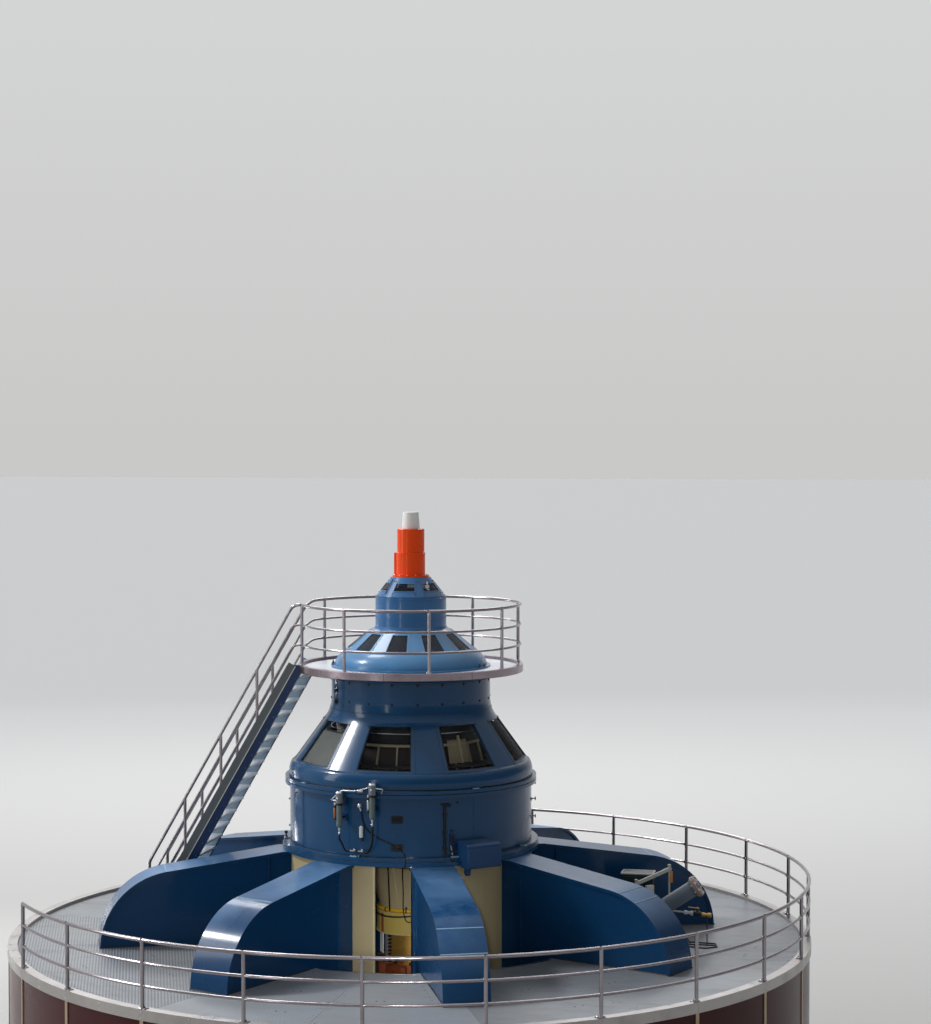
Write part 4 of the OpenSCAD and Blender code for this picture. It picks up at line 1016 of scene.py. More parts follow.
def hasps():
    """Three strap hasps above each other on the right side, each with a T-handle."""
    straps = Shape()
    centre = 11.0
    for z in (up(2.27), up(2.02), up(1.75)):
        straps.lathe([(BODY_R, z - 0.007), (BODY_R + 0.010, z - 0.007), (BODY_R + 0.010, z + 0.007),
                      (BODY_R, z + 0.007)], centre - 5.5, centre + 1, 8)
        foot = at(BODY_R + 0.004, centre, z)
        straps.turned(foot, outward(centre), [(0.013, 0), (0.013, 0.012), (0.008, 0.015), (0.008, 0.052)], 12)
        end = foot + outward(centre) * 0.056
        straps.turned(end - UP * 0.026, UP, [(0.006, 0), (0.009, 0.004), (0.009, 0.048), (0.006, 0.052)], 12)
    straps.made("side_hasps", BLACK, "dark_steel")


FILTERS = ((-108.3, 1.853), (-93.0, 2.001))
FILTER_R = SHOULDER_R + 0.0686
BOWL_H = 0.358
HEAD_H = 0.176


def filter_place(index, side=0.0, above=0.0, out=0.0):
    """A point beside an air filter: to its side, above the bowl's foot, and outwards."""
    azimuth, foot = FILTERS[index]
    return at(FILTER_R + out, azimuth, up(foot) + above) + sideways(azimuth) * side


def air_filters():
    """The two air filters, with bowl, clamp ring, head, regulator beside them and mounting bracket."""
    bowls, heads, rings, caps, silver, brackets = shapes(6)
    regulators = (Shape(), Shape())
    for i, (azimuth, _) in enumerate(FILTERS):
        base = filter_place(i)
        out, along = outward(azimuth), sideways(azimuth)
        reach = FILTER_R - BODY_R
        bowls.turned(base, UP, [(0.016, 0), (0.030, 0.004), (0.040, 0.018), (0.042, 0.04), (0.042, BOWL_H - 0.03),
                                (0.040, BOWL_H - 0.02)], 32)
        for z in (0.06, 0.12, 0.18, 0.24):
            bowls.turned(base + UP * z, UP, [(0.0422, 0), (0.0432, 0.003), (0.0432, 0.009), (0.0422, 0.012)], 32)
        rings.turned(base + UP * (BOWL_H - 0.03), UP, [(0.044, 0), (0.050, 0.006), (0.050, 0.026), (0.046, 0.034)], 24)
        for k in range(12):
            a = k * 30
            rings.turned(base + UP * (BOWL_H - 0.022) + outward(a) * 0.049, outward(a), [(0.006, 0), (0.005, 0.005)], 6)
        rings.turned(base + UP * (BOWL_H - 0.012) + along * 0.045, along,
                     [(0.012, 0), (0.016, 0.008), (0.016, 0.026), (0.010, 0.034)], 12)
        heads.turned(base + UP * (BOWL_H + 0.002), UP, [(0.048, 0), (0.054, 0.008), (0.0545, HEAD_H - 0.03),
                                                        (0.050, HEAD_H - 0.012), (0.040, HEAD_H - 0.002)], 32)
        caps.turned(base + UP * (BOWL_H + HEAD_H - 0.030), UP,
                    [(0.0548, 0), (0.0555, 0.006), (0.052, 0.020), (0.042, 0.029)], 32)
        caps.turned(base + UP * (BOWL_H + HEAD_H * 0.45) + out * 0.050, out,
                    [(0.014, 0), (0.014, 0.010), (0.009, 0.014)], 14)
        side = -0.078 if i == 0 else -0.062
        top = filter_place(i, side, BOWL_H - 0.055)
        regulators[i].turned(top - UP * 0.17, UP, [(0.016, 0), (0.020, 0.010), (0.020, 0.15), (0.016, 0.16)], 20)
        rings.turned(top - UP * 0.195, UP, [(0.012, 0), (0.024, 0.008), (0.024, 0.022), (0.018, 0.028)], 16)
        rings.turned(top - UP * 0.012, UP, [(0.020, 0), (0.024, 0.006), (0.024, 0.024), (0.014, 0.034)], 16)
        silver.turned(top + UP * 0.02, UP, [(0.017, 0), (0.019, 0.008), (0.019, 0.034), (0.010, 0.042)], 16)
        silver.tube([top + UP * 0.045, top + UP * 0.045 - along * side], 0.012, 12)
        silver.turned(base - UP * 0.03, UP, [(0.013, 0), (0.013, 0.012), (0.018, 0.014), (0.018, 0.032)], 6)
        silver.turned(base - UP * 0.105, UP, [(0.014, 0), (0.018, 0.006), (0.018, 0.036), (0.013, 0.042),
                                              (0.013, 0.078)], 16)
        brackets.slab(base + UP * (BOWL_H + 0.03) - out * reach, along, UP, 0.10, 0.13, 0.012, 0.008, 0.003)
        brackets.slab(base + UP * (BOWL_H - 0.21) - out * reach, along, UP, 0.10, 0.10, 0.012, 0.008, 0.003)
        brackets.slab(base + UP * (BOWL_H - 0.21) - out * (reach - 0.01), along, UP, 0.036, 0.036, reach - 0.046,
                      0.006, 0.002)
    made = [bowls.made("filter_bowls", FILTER_GREY, "grey_fittings"),
            heads.made("filter_heads", HEAD_GREY, "grey_fittings"),
            rings.made("filter_clamp_rings", BLACK, "grey_fittings"), caps.made("filter_caps", CAP_METAL, "stainless"),
            regulators[0].made("filter_regulator_left", COPPER_PIPE, "brush_copper"),
            regulators[1].made("filter_regulator_right", STEEL, "stainless"),
            silver.made("filter_fittings", STEEL, "stainless"), brackets.made("filter_brackets", NAVY, "blue_paint")]
    for piece in made:
        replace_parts(piece, "air_filters")


LEFT_HEAD_AZIMUTH, RIGHT_HEAD_AZIMUTH = -109, -93.7
BRIDGE_PIPE_R = 0.0105


def filter_pipes():
    """The bright pipe that joins the two heads, and the black hoses from the bowls to their fittings."""
    pipe, hoses, ends = shapes(3)
    left = filter_place(0, -0.05, BOWL_H + 0.035)
    right = filter_place(1, -0.05, BOWL_H + 0.105)
    path = rounded([left, left - sideways(LEFT_HEAD_AZIMUTH) * 0.095, at(FILTER_R, -107.3, up(2.40)),
                    at(FILTER_R, -101.0, up(2.405)), right], 0.03)
    pipe.tube(path, BRIDGE_PIPE_R, 12)
    stub = filter_place(1, 0.05, BOWL_H + 0.10)
    pipe.tube(rounded([stub, stub + sideways(RIGHT_HEAD_AZIMUTH) * 0.115 - UP * 0.01,
                       stub + sideways(RIGHT_HEAD_AZIMUTH) * 0.085 - UP * 0.075
                       - outward(RIGHT_HEAD_AZIMUTH) * 0.02], 0.03), BRIDGE_PIPE_R, 12)
    ends.turned(at(FILTER_R, -99.6, up(2.405)), sideways(-99.6),
                [(0.014, 0), (0.021, 0.006), (0.021, 0.085), (0.014, 0.092)], 16)
    for index, azimuth, rise in ((0, LEFT_HEAD_AZIMUTH, 0.035), (1, RIGHT_HEAD_AZIMUTH, 0.105)):
        ends.turned(filter_place(index, -0.054, BOWL_H + rise), -sideways(azimuth),
                    [(0.016, 0), (0.016, 0.02), (0.012, 0.024)], 6)
    bottom_z = up(1.512)
    for index, azimuth, way in ((0, -104.3, 1), (1, -98.0, -1)):
        start = filter_place(index, 0, -0.10)
        near = at(BODY_R + 0.075, azimuth - way * 2.2, bottom_z)
        end = at(BODY_R + 0.060, azimuth, bottom_z)
        hang = at(FILTER_R - 0.02, FILTERS[index][0] + way * 0.35, bottom_z + 0.14)
        hoses.tube(flowing([start, start - UP * 0.07, hang, near, end], 10), 0.0135 if index == 0 else 0.017, 12)
        ends.turned(end - sideways(azimuth) * way * 0.004, sideways(azimuth) * way,
                    [(0.016, 0), (0.020, 0.005), (0.020, 0.05), (0.015, 0.056), (0.015, 0.085)], 16)
        ends.stud(BODY_R, azimuth + way * 1.2, bottom_z, [(0.024, 0), (0.024, 0.012), (0.014, 0.018), (0.014, 0.066)],
                  16)
    ends.plate(BODY_R, -101.4, up(1.44), 0.07, 0.022, 0.03, 0.006, 0.002)
    pipe.made("filter_bridge_pipe", STEEL, "stainless")
    hoses.made("filter_hoses", RUBBER, "black_kerb")
    ends.made("filter_pipe_fittings", BAND, "rim_metal")


PLUG_AZIMUTH = -100.2
CABLE_CLIPS = ((-97.1, 1.84), (-92.7, 1.734), (-87.5, 1.66), (-83.0, 1.595), (-79.9, 1.50))


def gauge_and_cable():
    """Round plug on the body with the thin cable that is clipped along the housing down to the slip rings."""
    plug, cable, clips = shapes(3)
    centre = at(BODY_R, PLUG_AZIMUTH, up(2.18))
    plug.turned(centre, outward(PLUG_AZIMUTH), [(0.042, 0), (0.042, 0.012), (0.034, 0.02), (0.030, 0.045),
                                                (0.022, 0.052)], 24)
    plug.turned(centre + outward(PLUG_AZIMUTH) * 0.03, sideways(PLUG_AZIMUTH) * 0.3 - UP,
                [(0.013, 0), (0.016, 0.02), (0.016, 0.07), (0.009, 0.085)], 14)
    lift = BODY_R + 0.010
    route = [centre + outward(PLUG_AZIMUTH) * 0.03 - UP * 0.085 + sideways(PLUG_AZIMUTH) * 0.025,
             at(lift, -99.0, up(1.97)),
             *[at(lift, azimuth, up(z)) for azimuth, z in CABLE_CLIPS], at(lift, -79.2, up(1.44)),
             at(FOOT_FLANGE_R - 0.004, -79.0, up(1.425)),
             at(FOOT_FLANGE_R + 0.008, -79.0, up(1.36)), at(FOOT_FLANGE_R + 0.006, -79.1, up(1.312)),
             at(FOOT_FLANGE_R - 0.06, -79.5, up(1.29)), at(1.0, -84, up(1.10)), at(0.66, -87, up(0.70)),
             at(0.60, -88, up(0.42)), at(SHROUD_R + 0.045, -84, up(0.235)), at(SHROUD_R + 0.013, -74, up(0.215))]
    cable.tube(flowing(route, 8), 0.0085, 8)
    for azimuth, z in CABLE_CLIPS:
        place = at(BODY_R, azimuth, up(z))
        clips.slab(place, sideways(azimuth), UP, 0.014, 0.040, 0.020, 0.004, 0.002)
    clips.turned(at(FOOT_FLANGE_R - 0.02, -79.0, up(1.425)), UP, [(0.016, -0.012), (0.016, 0.008)], 10)
    clips.stud(SHROUD_R, -74, up(0.215), [(0.020, 0), (0.020, 0.02), (0.013, 0.026)], 12)
    plug.made("body_cable_plug", CAP_METAL, "stainless")
    cable.made("body_cable", RUBBER, "black_kerb")
    clips.made("body_cable_clips", DARK_STEEL, "dark_steel")


def level_sensor():
    """The small white upright sensor with a grey tip and two clips."""
    azimuth = -99.3
    tube, tip = shapes(2)
    foot = at(BODY_R + 0.035, azimuth, up(1.715))
    tube.turned(foot, UP, [(0.026, 0), (0.029, 0.006), (0.029, 0.150), (0.024, 0.160), (0.012, 0.170)], 20)
    tip.turned(foot - UP * 0.060, UP, [(0.012, 0), (0.018, 0.006), (0.018, 0.050), (0.024, 0.061)], 16)
    for rise in (0.05, 0.12):
        tip.plate(BODY_R, azimuth, foot.z + rise, 0.05, 0.018, 0.035, 0.004, 0.002)
    tube.made("body_sensor", WHITE, "white_plastic")
    tip.made("body_sensor_clips", DARK_STEEL, "dark_steel")


CONDUIT_AZIMUTH = -61.2


def conduit():
    """Black conduit that runs down the body to the terminal bracket, and the white lead beside the junction box."""
    pipe, clips, white = shapes(3)
    lift = BODY_R + 0.024
    route = rounded([at(BODY_R, -58.8, up(2.185)), at(lift, -58.8, up(2.19)), at(lift, CONDUIT_AZIMUTH, up(2.19)),
                     at(lift, CONDUIT_AZIMUTH, up(1.50)),
                     at(BODY_R + 0.06, -60.2, up(1.41)), at(BODY_R + 0.13, -58.0, up(1.405))], 0.045)
    pipe.tube(route, 0.017, 12)
    for z in (2.06, 1.80, 1.56):
        clips.plate(BODY_R, CONDUIT_AZIMUTH, up(z), 0.085, 0.024, 0.012, 0.006, 0.002)
        clips.turned(at(lift, CONDUIT_AZIMUTH, up(z) - 0.012), UP, [(0.021, 0), (0.021, 0.024)], 14)
    clips.plate(BODY_R, -60.9, up(2.205), 0.13, 0.030, 0.02, 0.006, 0.002)
    box_side = at(BODY_R + 0.24, -53.9, up(1.42))
    white.tube(rounded([at(BODY_R + 0.03, -58.6, up(1.60)), at(BODY_R + 0.03, -57.6, up(1.44)),
                        at(BODY_R + 0.10, -57.2, up(1.36)),
                        at(BODY_R + 0.10, -57.0, up(1.20)),
                        box_side + UP * (up(1.12) - box_side.z) - sideways(-53.9) * 0.02], 0.05), 0.008, 8)
    pipe.made("body_conduit", BLACK, "black_kerb")
    clips.made("conduit_clips", BLACK, "dark_steel")
    white.made("terminal_lead", CABLE_WHITE, "white_plastic")


def terminal_bracket():
    """Narrow bracket beside the junction box, with a row of dark terminals."""
    plate, parts = shapes(2)
    azimuth = -57.6
    plate.plate(BODY_R, azimuth, up(1.64), 0.075, 0.25, 0.03, 0.01, 0.003)
    plate.plate(BODY_R, azimuth, up(1.81), 0.05, 0.035, 0.03, 0.006, 0.003)
    for k in range(4):
        place = at(BODY_R + 0.03, azimuth, up(1.56 + 0.055 * k))
        parts.turned(place, outward(azimuth), [(0.018, 0), (0.018, 0.012), (0.010, 0.020), (0.010, 0.034)], 12)
    for z in (1.52, 1.45):
        parts.tube(rounded([at(BODY_R + 0.02, azimuth - 1.2, up(z)), at(BODY_R + 0.05, azimuth, up(z - 0.01)),
                            at(BODY_R + 0.06, azimuth + 1.9, up(z - 0.02))], 0.02), 0.012, 8)
    plate.made("terminal_bracket", NAVY, "blue_paint")
    parts.made("terminal_studs", BLACK, "dark_steel")


BOX_TURN = -47.0
BOX_W = 0.57
BOX_REACH = 0.33
BOX_LOW_Z = low("junction_box").z
BOX_HIGH_Z = high("junction_box").z


def box_point(reach, side, z):
    """A point on the junction box: reach from the shaft, side along its width."""
    return outward(BOX_TURN) * reach + sideways(BOX_TURN) * side + UP * z


def junction_box():
    """The junction box with its rounded hood, lid, screws and the cable gland below its left side."""
    shell, lid, screws, gland, ring = shapes(5)
    front = BODY_R + BOX_REACH
    back = BODY_R - 0.05
    bend = 0.07
    profile = [(back, BOX_LOW_Z + 0.10), (FOOT_FLANGE_R + 0.002, BOX_LOW_Z + 0.10), (FOOT_FLANGE_R + 0.002, BOX_LOW_Z),
               (front - 0.012, BOX_LOW_Z), (front - 0.004, BOX_LOW_Z + 0.012)]
    for k in range(7):
        a = math.radians(k * 15)
        profile.append((front - 0.004 - bend + bend * math.cos(a), BOX_HIGH_Z - 0.010 - bend + bend * math.sin(a)))
    profile.append((back, BOX_HIGH_Z - 0.002))
    half = BOX_W / 2
    rings = []
    for inset, side in ((0.006, -half), (0, -half + 0.006), (0, half - 0.006), (0.006, half)):
        rings.append([box_point(r - (inset if r > BODY_R + 0.2 else 0), side,
                                z - (inset if z > BOX_HIGH_Z - 0.1 else 0))
                      for r, z in profile])
    shell.rings(rings)
    lid_low = BOX_LOW_Z + 0.012
    lid_high = BOX_HIGH_Z - 0.085
    centre = box_point(front - 0.004, 0, (lid_low + lid_high) / 2)
    lid.slab(centre, sideways(BOX_TURN), UP, BOX_W - 0.02, lid_high - lid_low, 0.004, 0.012, 0.0015)
    for side in (-1, 1):
        for z in (lid_low + 0.025, lid_high - 0.025):
            screws.dome(box_point(front, side * (half - 0.035), z), outward(BOX_TURN), 0.009, 10)
        screws.slab(box_point(front - 0.10, side * half, BOX_HIGH_Z - 0.14), outward(BOX_TURN) * side * -1, UP, 0.05,
                    0.016, 0.006, 0.004, 0.0015)
    foot = box_point(FOOT_FLANGE_R + 0.075, -half + 0.075, BOX_LOW_Z)
    gland.turned(foot, -UP, [(0.040, 0), (0.052, 0.006), (0.052, 0.045), (0.044, 0.052), (0.044, 0.105),
                             (0.036, 0.115)], 20)
    gland.turned(foot - UP * 0.050, outward(BOX_TURN - 60), [(0.030, 0.03), (0.030, 0.062), (0.022, 0.068)], 16)
    ring.turned(foot + UP * 0.001, -UP, [(0.058, 0), (0.060, 0.002), (0.060, 0.006), (0.054, 0.008)], 24)
    made = [shell.made("junction_box_hood", BLUE_BOX, "blue_paint", 25),
            lid.made("junction_box_lid", BLUE_BOX, "blue_paint")]
    for piece in made:
        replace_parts(piece, "junction_box")
    screws.made("junction_box_screws", DARK_STEEL, "dark_steel")
    gland.made("junction_box_gland", BLUE_BOX, "blue_paint")
    ring.made("junction_box_gland_ring", ORANGE, "orange_paint")


flange_gap_shades()
foot_clamps()
body_seams()
hasps()
air_filters()
filter_pipes()
gauge_and_cable()
level_sensor()
conduit()
terminal_bracket()
junction_box()


# Window cone

FRAME_HALF = 15.3
FRAME_LOW_Z = up(2.619)
FRAME_HIGH_Z = CONE_HIGH_Z - 0.006
COVER_LIFT = (0.0005, 0.006)


def window_azimuths():
    return [i * 45.0 for i in range(8)]


def window_covers():
    """The bolted cover sheet of each window: a thin raised frame round the opening."""
    covers, bolts, lines = shapes(3)
    low_opening, high_opening = WINDOW_LOW_Z - 0.006, WINDOW_HIGH_Z + 0.006
    inner = WINDOW_HALF + 0.25
    for middle in window_azimuths():
        left, right = middle - FRAME_HALF, middle + FRAME_HALF
        for arc in ((left, middle - inner), (middle + inner, right)):
            covers.cone_sheet(cone_r, FRAME_LOW_Z, FRAME_HIGH_Z, arc, arc, COVER_LIFT, 3)
        window = (middle - inner, middle + inner)
        covers.cone_sheet(cone_r, FRAME_LOW_Z, low_opening, window, window, COVER_LIFT, 24)
        covers.cone_sheet(cone_r, high_opening, FRAME_HIGH_Z, window, window, COVER_LIFT, 24)
        whole = (left - 0.10, right + 0.10)
        lines.cone_sheet(cone_r, FRAME_LOW_Z - 0.005, FRAME_LOW_Z, whole, whole, (-0.004, 0.001), 24)
        for edge in (left, right):
            lines.cone_sheet(cone_r, FRAME_LOW_Z - 0.005, FRAME_HIGH_Z, (edge - 0.10, edge + 0.10),
                             (edge - 0.10, edge + 0.10), (-0.004, 0.001), 1)
        for side in (left + 0.35, right - 0.35):
            z = FRAME_LOW_Z + 0.012
            bolts.bolt(at(cone_r(z) + 0.005, side, z), outward(side, CONE_RISE), 0.013)
            z = FRAME_HIGH_Z - 0.03
            bolts.bolt(at(cone_r(z) + 0.005, side, z), outward(side, CONE_RISE), 0.010)
    covers.made("window_cover_sheets", BLUE, "blue_paint", 25)
    lines.made("window_cover_gaps", BLACK, "dark_steel")
    bolts.made("window_cover_bolts", DARK_STEEL, "dark_steel")


def window_seals():
    """Dark rubber round the inside of each window opening."""
    seals = Shape()
    for middle in window_azimuths():
        corners = [(-1, WINDOW_LOW_Z), (1, WINDOW_LOW_Z), (1, WINDOW_HIGH_Z), (-1, WINDOW_HIGH_Z)]
        path = []
        for (s0, z0), (s1, z1) in zip(corners, corners[1:] + corners[:1]):
            for k in range(8):
                t = k / 8
                z = z0 + (z1 - z0) * t
                path.append(at(cone_r(z) - 0.014, middle + (s0 + (s1 - s0) * t) * (WINDOW_HALF - 0.25), z))
        path.append(path[0])
        seals.tube(path, 0.009, 6, caps=False)
    seals.made("window_seals", RUBBER, "black_kerb")


def bell_details():
    """What shows behind the glass: the dark bell with its pale straps and edge, ribbed sheets and grilles, and painted
    shade: a black ring above the bell, dark sheets behind the grilles and a dark ledge at the foot of the windows.
    """
    straps, shade, grille, slats, ribs, dark, wire = shapes(7)
    edge_z = up(2.965)

    def bell_r(z):
        return 1.25 + (NECK_R - 0.26 - 1.25) * (z - CROWN_Z) / (NECK_Z - 0.045 - CROWN_Z)

    def strip(shape, surface, low_z, high_z, azimuth, half, lift):
        arc = (azimuth - half, azimuth + half)
        shape.cone_sheet(surface, low_z, high_z, arc, arc, lift, 1 if half < 1 else 20)

    for k in range(24):
        strip(straps, bell_r, CROWN_Z + 0.10, edge_z, k * 15.0 + 3, 0.55, (0.0, 0.03))
    r = bell_r(edge_z)
    straps.lathe([(r - 0.01, edge_z - 0.010), (r + 0.045, edge_z - 0.016), (r + 0.055, edge_z + 0.002),
                  (r + 0.040, edge_z + 0.020),
                  (r - 0.01, edge_z + 0.030)])
    # A dark ledge at the foot of the windows, in the same painted shade.
    ledge_z = WINDOW_LOW_Z + 0.004
    shade.lathe([(1.26, ledge_z), (1.60, ledge_z), (1.60, ledge_z + 0.012), (1.26, ledge_z + 0.012)])
    # A black ring above the bell's edge: painted shade for the dark top of the view through the windows.
    dark.lathe([(r - 0.02, edge_z + 0.024), (r + 0.03, edge_z + 0.024), (1.16, WINDOW_HIGH_Z + 0.02),
                (1.0, WINDOW_HIGH_Z + 0.02)])
    ring_z = edge_z + 0.19
    wire.lathe([(1.215, ring_z), (1.223, ring_z), (1.223, ring_z + 0.008), (1.215, ring_z + 0.008)], steps=96)

    def grille_r(z):
        return cone_r(z) - 0.055

    for middle in (-135.0, 45.0):
        # Dark sheets behind the grilles: painted shade, the dark inside seen between the strips.
        strip(shade, grille_r, WINDOW_LOW_Z - 0.01, up(3.15), middle, 14, (-0.012, -0.004))
        for k in range(22):
            strip(grille, grille_r, WINDOW_LOW_Z - 0.01, up(3.13), middle - 13.6 + k * 27.2 / 21, 0.34, (-0.003, 0.010))
    for middle in (-45.0, 135.0, 0.0):
        strip(slats, bell_r, WINDOW_LOW_Z + 0.02, up(3.10), middle + 6.0, 9.0, (0.035, 0.046))
        for k in range(16):
            strip(ribs, bell_r, WINDOW_LOW_Z + 0.02, up(3.10), middle - 2.6 + k * 17.2 / 15, 0.20, (0.046, 0.058))
        strip(ribs, bell_r, WINDOW_LOW_Z + 0.02, up(3.10), middle + 6.5, 0.9, (0.046, 0.090))
    straps.made("bell_straps", BELL_LIGHT, "bell_paint")
    shade.made("window_inner_painted_shade", WINDOW_PAINTED_SHADE, "dark_steel")
    grille.made("air_grilles", GRILLE, "grey_fittings")
    slats.made("bell_sheets", BELL, "bell_paint")
    ribs.made("bell_sheet_ribs", BELL_LIGHT, "bell_paint")
    dark.made("bell_top_painted_shade", BLACK, "dark_steel")
    wire.made("bell_wire_ring", STEEL, "stainless")


window_covers()
window_seals()
bell_details()


# Neck and platform

NECK_BOLTS = 20
FLARE_START = (cone_r(CONE_HIGH_Z), CONE_HIGH_Z)
FLARE_CORNER_Z = up(3.429)
FLARE_END_Z = up(3.597)
FLARE_LIFT = 0.0015


def flare(t):
    """(radius, height) on the sheet that leads the cone into the neck."""
    start, end = Vector(FLARE_START), Vector((NECK_R, FLARE_END_Z))
    lead = Vector((NECK_R, FLARE_CORNER_Z))
    point = start * (1 - t) ** 2 + lead * (2 * t * (1 - t)) + end * t ** 2
    return point.x + FLARE_LIFT, point.y


def flare_r(z):
    return next(r for r, level in (flare(i / 40) for i in range(41)) if level >= z)


def neck_flare():
    """The curved sheet between cone and neck."""
    sheet = Shape()
    outside = [flare(i / 12) for i in range(13)]
    sheet.lathe(outside + [(r - 0.004, z) for r, z in reversed(outside)])
    sheet.made("neck_flare_sheet", BLUE, "blue_paint", 60)


def neck_details():
    """Two rows of bolts in the neck, the seam lines and the latch on its left side."""
    bolts, seams, latch = shapes(3)
    for i in range(NECK_BOLTS):
        azimuth = -90 + i * 360 / NECK_BOLTS
        for z in (up(3.875), up(3.59)):
            bolts.stud(NECK_R - 0.001, azimuth, z, [(0.021, 0), (0.021, 0.004), (0.013, 0.005), (0.013, 0.012),
                                                    (0.010, 0.014)], 12)
    seam_r = NECK_R + 0.0005
    seam_z = up(3.445)
    r = flare_r(seam_z)
    seams.lathe([(r - 0.004, seam_z), (r + 0.003, seam_z), (r + 0.003, seam_z + 0.006), (r - 0.004, seam_z + 0.006)])
    z = NECK_END_Z - 0.03
    seams.lathe([(seam_r - 0.006, z), (seam_r + 0.001, z), (seam_r + 0.001, z + 0.006), (seam_r - 0.006, z + 0.006)])
    for base in (-144.5, 35.5):
        seams.lathe([(seam_r - 0.004, FLARE_END_Z), (seam_r + 0.002, FLARE_END_Z), (seam_r + 0.002, NECK_END_Z - 0.03),
                     (seam_r - 0.004, NECK_END_Z - 0.03)], base + 1.5, base + 1.8, 1)
        for z in (up(3.731), up(3.564)):
            foot = at(NECK_R, base, z)
            latch.slab(foot, sideways(base), UP, 0.085, 0.050, 0.022, 0.008, 0.003)
            latch.turned(foot + outward(base) * 0.020 - UP * 0.03, UP,
                         [(0.010, 0), (0.012, 0.004), (0.012, 0.056), (0.010, 0.06)], 10)
            latch.bolt(foot + outward(base) * 0.022 + sideways(base) * 0.03, outward(base), 0.008, False)
    bolts.made("neck_bolts", NECK_DARK, "dark_steel")
    seams.made("neck_seams", NECK_DARK, "dark_steel")
    latch.made("neck_latches", BLACK, "dark_steel")


BAND_LOW_Z = up(3.994)
PLATE_Z = up(4.062)
EDGE_W = 0.080


def platform():
    """The round platform: its plate, the steel band with the raised edge, and the dark cone under it."""
    plate, band, cone, joints = shapes(4)
    top, inner = PLATFORM_EDGE_Z, PLATFORM_R - EDGE_W
    plate.lathe([(0.9, PLATE_Z - 0.02), (inner + 0.01, PLATE_Z - 0.02), (inner + 0.01, PLATE_Z), (0.9, PLATE_Z)],
                steps=180)
    band.lathe([(inner, BAND_LOW_Z), (PLATFORM_R - 0.003, BAND_LOW_Z), (PLATFORM_R, BAND_LOW_Z + 0.003),
                (PLATFORM_R, top - 0.006),
                (PLATFORM_R - 0.006, top), (inner + 0.004, top), (inner, top - 0.004)], steps=180)
    cone.lathe([(NECK_R - 0.1, NECK_END_Z - 0.001), (NECK_R + 0.060, NECK_END_Z - 0.001),
                (PLATFORM_R - 0.120, BAND_LOW_Z - 0.003),
                (PLATFORM_R - 0.006, BAND_LOW_Z - 0.003), (PLATFORM_R - 0.006, BAND_LOW_Z + 0.001),
                (NECK_R - 0.1, BAND_LOW_Z + 0.001)])
    for i in range(8):
        azimuth = i * 45.0
        joints.lathe([(PLATFORM_R - 0.003, BAND_LOW_Z + 0.002), (PLATFORM_R + 0.0006, BAND_LOW_Z + 0.002),
                      (PLATFORM_R + 0.0006, top - 0.004), (PLATFORM_R - 0.003, top - 0.004)], azimuth - 0.1,
                      azimuth + 0.1, 1)
    for piece in (plate.made("platform_plate", PLATE, "rim_metal"), band.made("platform_band", EDGE_BAND, "rim_metal"),
                  cone.made("platform_cone_skin", NAVY, "blue_paint")):
        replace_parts(piece, "platform")
    joints.made("platform_band_joints", BLACK, "dark_steel")


neck_flare()
neck_details()
platform()


# Pilot housing, cap and cover

PILOT_LOW_R = 1.0
PILOT_HIGH_R = 0.655
PILOT_WINDOWS = 10
PILOT_HALF = 9.5
FLANGE_T = 0.024
BULGE_R = 1.170
CAP_LOW_R = 0.53
CAP_HIGH_R = 0.30
CAP_FOOT_Z = CAP_END_Z - 0.29
CAP_HALF = 21.0
COVER_R = 0.22
COVER_TOP_R = 0.209
COVER_SPLIT_Z = up(5.793)


def pilot_r(z):
    return PILOT_LOW_R + (PILOT_HIGH_R - PILOT_LOW_R) * (z - PILOT_CONE_Z) / (PILOT_CONE_END_Z - PILOT_CONE_Z)


def cap_r(z):
    return CAP_LOW_R + (CAP_HIGH_R - CAP_LOW_R) * (z - CAP_FOOT_Z) / (CAP_END_Z - CAP_FOOT_Z)


def pilot_base():
    """The pilot housing's foot flange and bulge, with a seam and bolted clamps."""
    foot, clamps, nuts, seams = shapes(4)
    flange_z = PLATE_Z + FLANGE_T
    start, end = Vector((BULGE_R, flange_z)), Vector((PILOT_LOW_R + 0.001, PILOT_CONE_Z))
    lead = Vector((BULGE_R - 0.020, (flange_z + PILOT_CONE_Z) / 2 + 0.01))
    bulge = [start * (1 - t) ** 2 + lead * (2 * t * (1 - t)) + end * t ** 2 for t in (i / 14 for i in range(15))]
    foot.lathe([(0.9, PLATE_Z), (PILOT_FLANGE_R, PLATE_Z), (PILOT_FLANGE_R, flange_z)] + [(p.x, p.y) for p in bulge]
               + [(0.9, PILOT_CONE_Z)], steps=180)
    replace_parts(foot.made("pilot_foot_and_bulge", BLUE_LIGHT, "blue_paint", 40), "pilot_base")
    for azimuth in (-172, -164, -16, -8, 52, 60, 112, 120):
        place = at(PILOT_FLANGE_R - 0.024, azimuth, flange_z)
        clamps.slab(place, outward(azimuth), sideways(azimuth), 0.044, 0.06, 0.014, 0.008, 0.003)
        nuts.bolt(place + UP * 0.014, UP, 0.014)
        nuts.turned(place + UP * 0.024, UP, [(0.007, 0), (0.007, 0.03), (0.005, 0.032)], 10)
    seam_z = PILOT_CONE_Z
    seams.lathe([(PILOT_LOW_R - 0.004, seam_z - 0.003), (PILOT_LOW_R + 0.0025, seam_z - 0.003),
                 (PILOT_LOW_R + 0.0025, seam_z + 0.003),
                 (PILOT_LOW_R - 0.004, seam_z + 0.003)])
    clamps.made("pilot_foot_clamps", BLUE_LIGHT, "blue_paint")
    nuts.made("pilot_foot_nuts", DARK_STEEL, "dark_steel")
    seams.made("pilot_foot_seams", NAVY, "blue_paint")


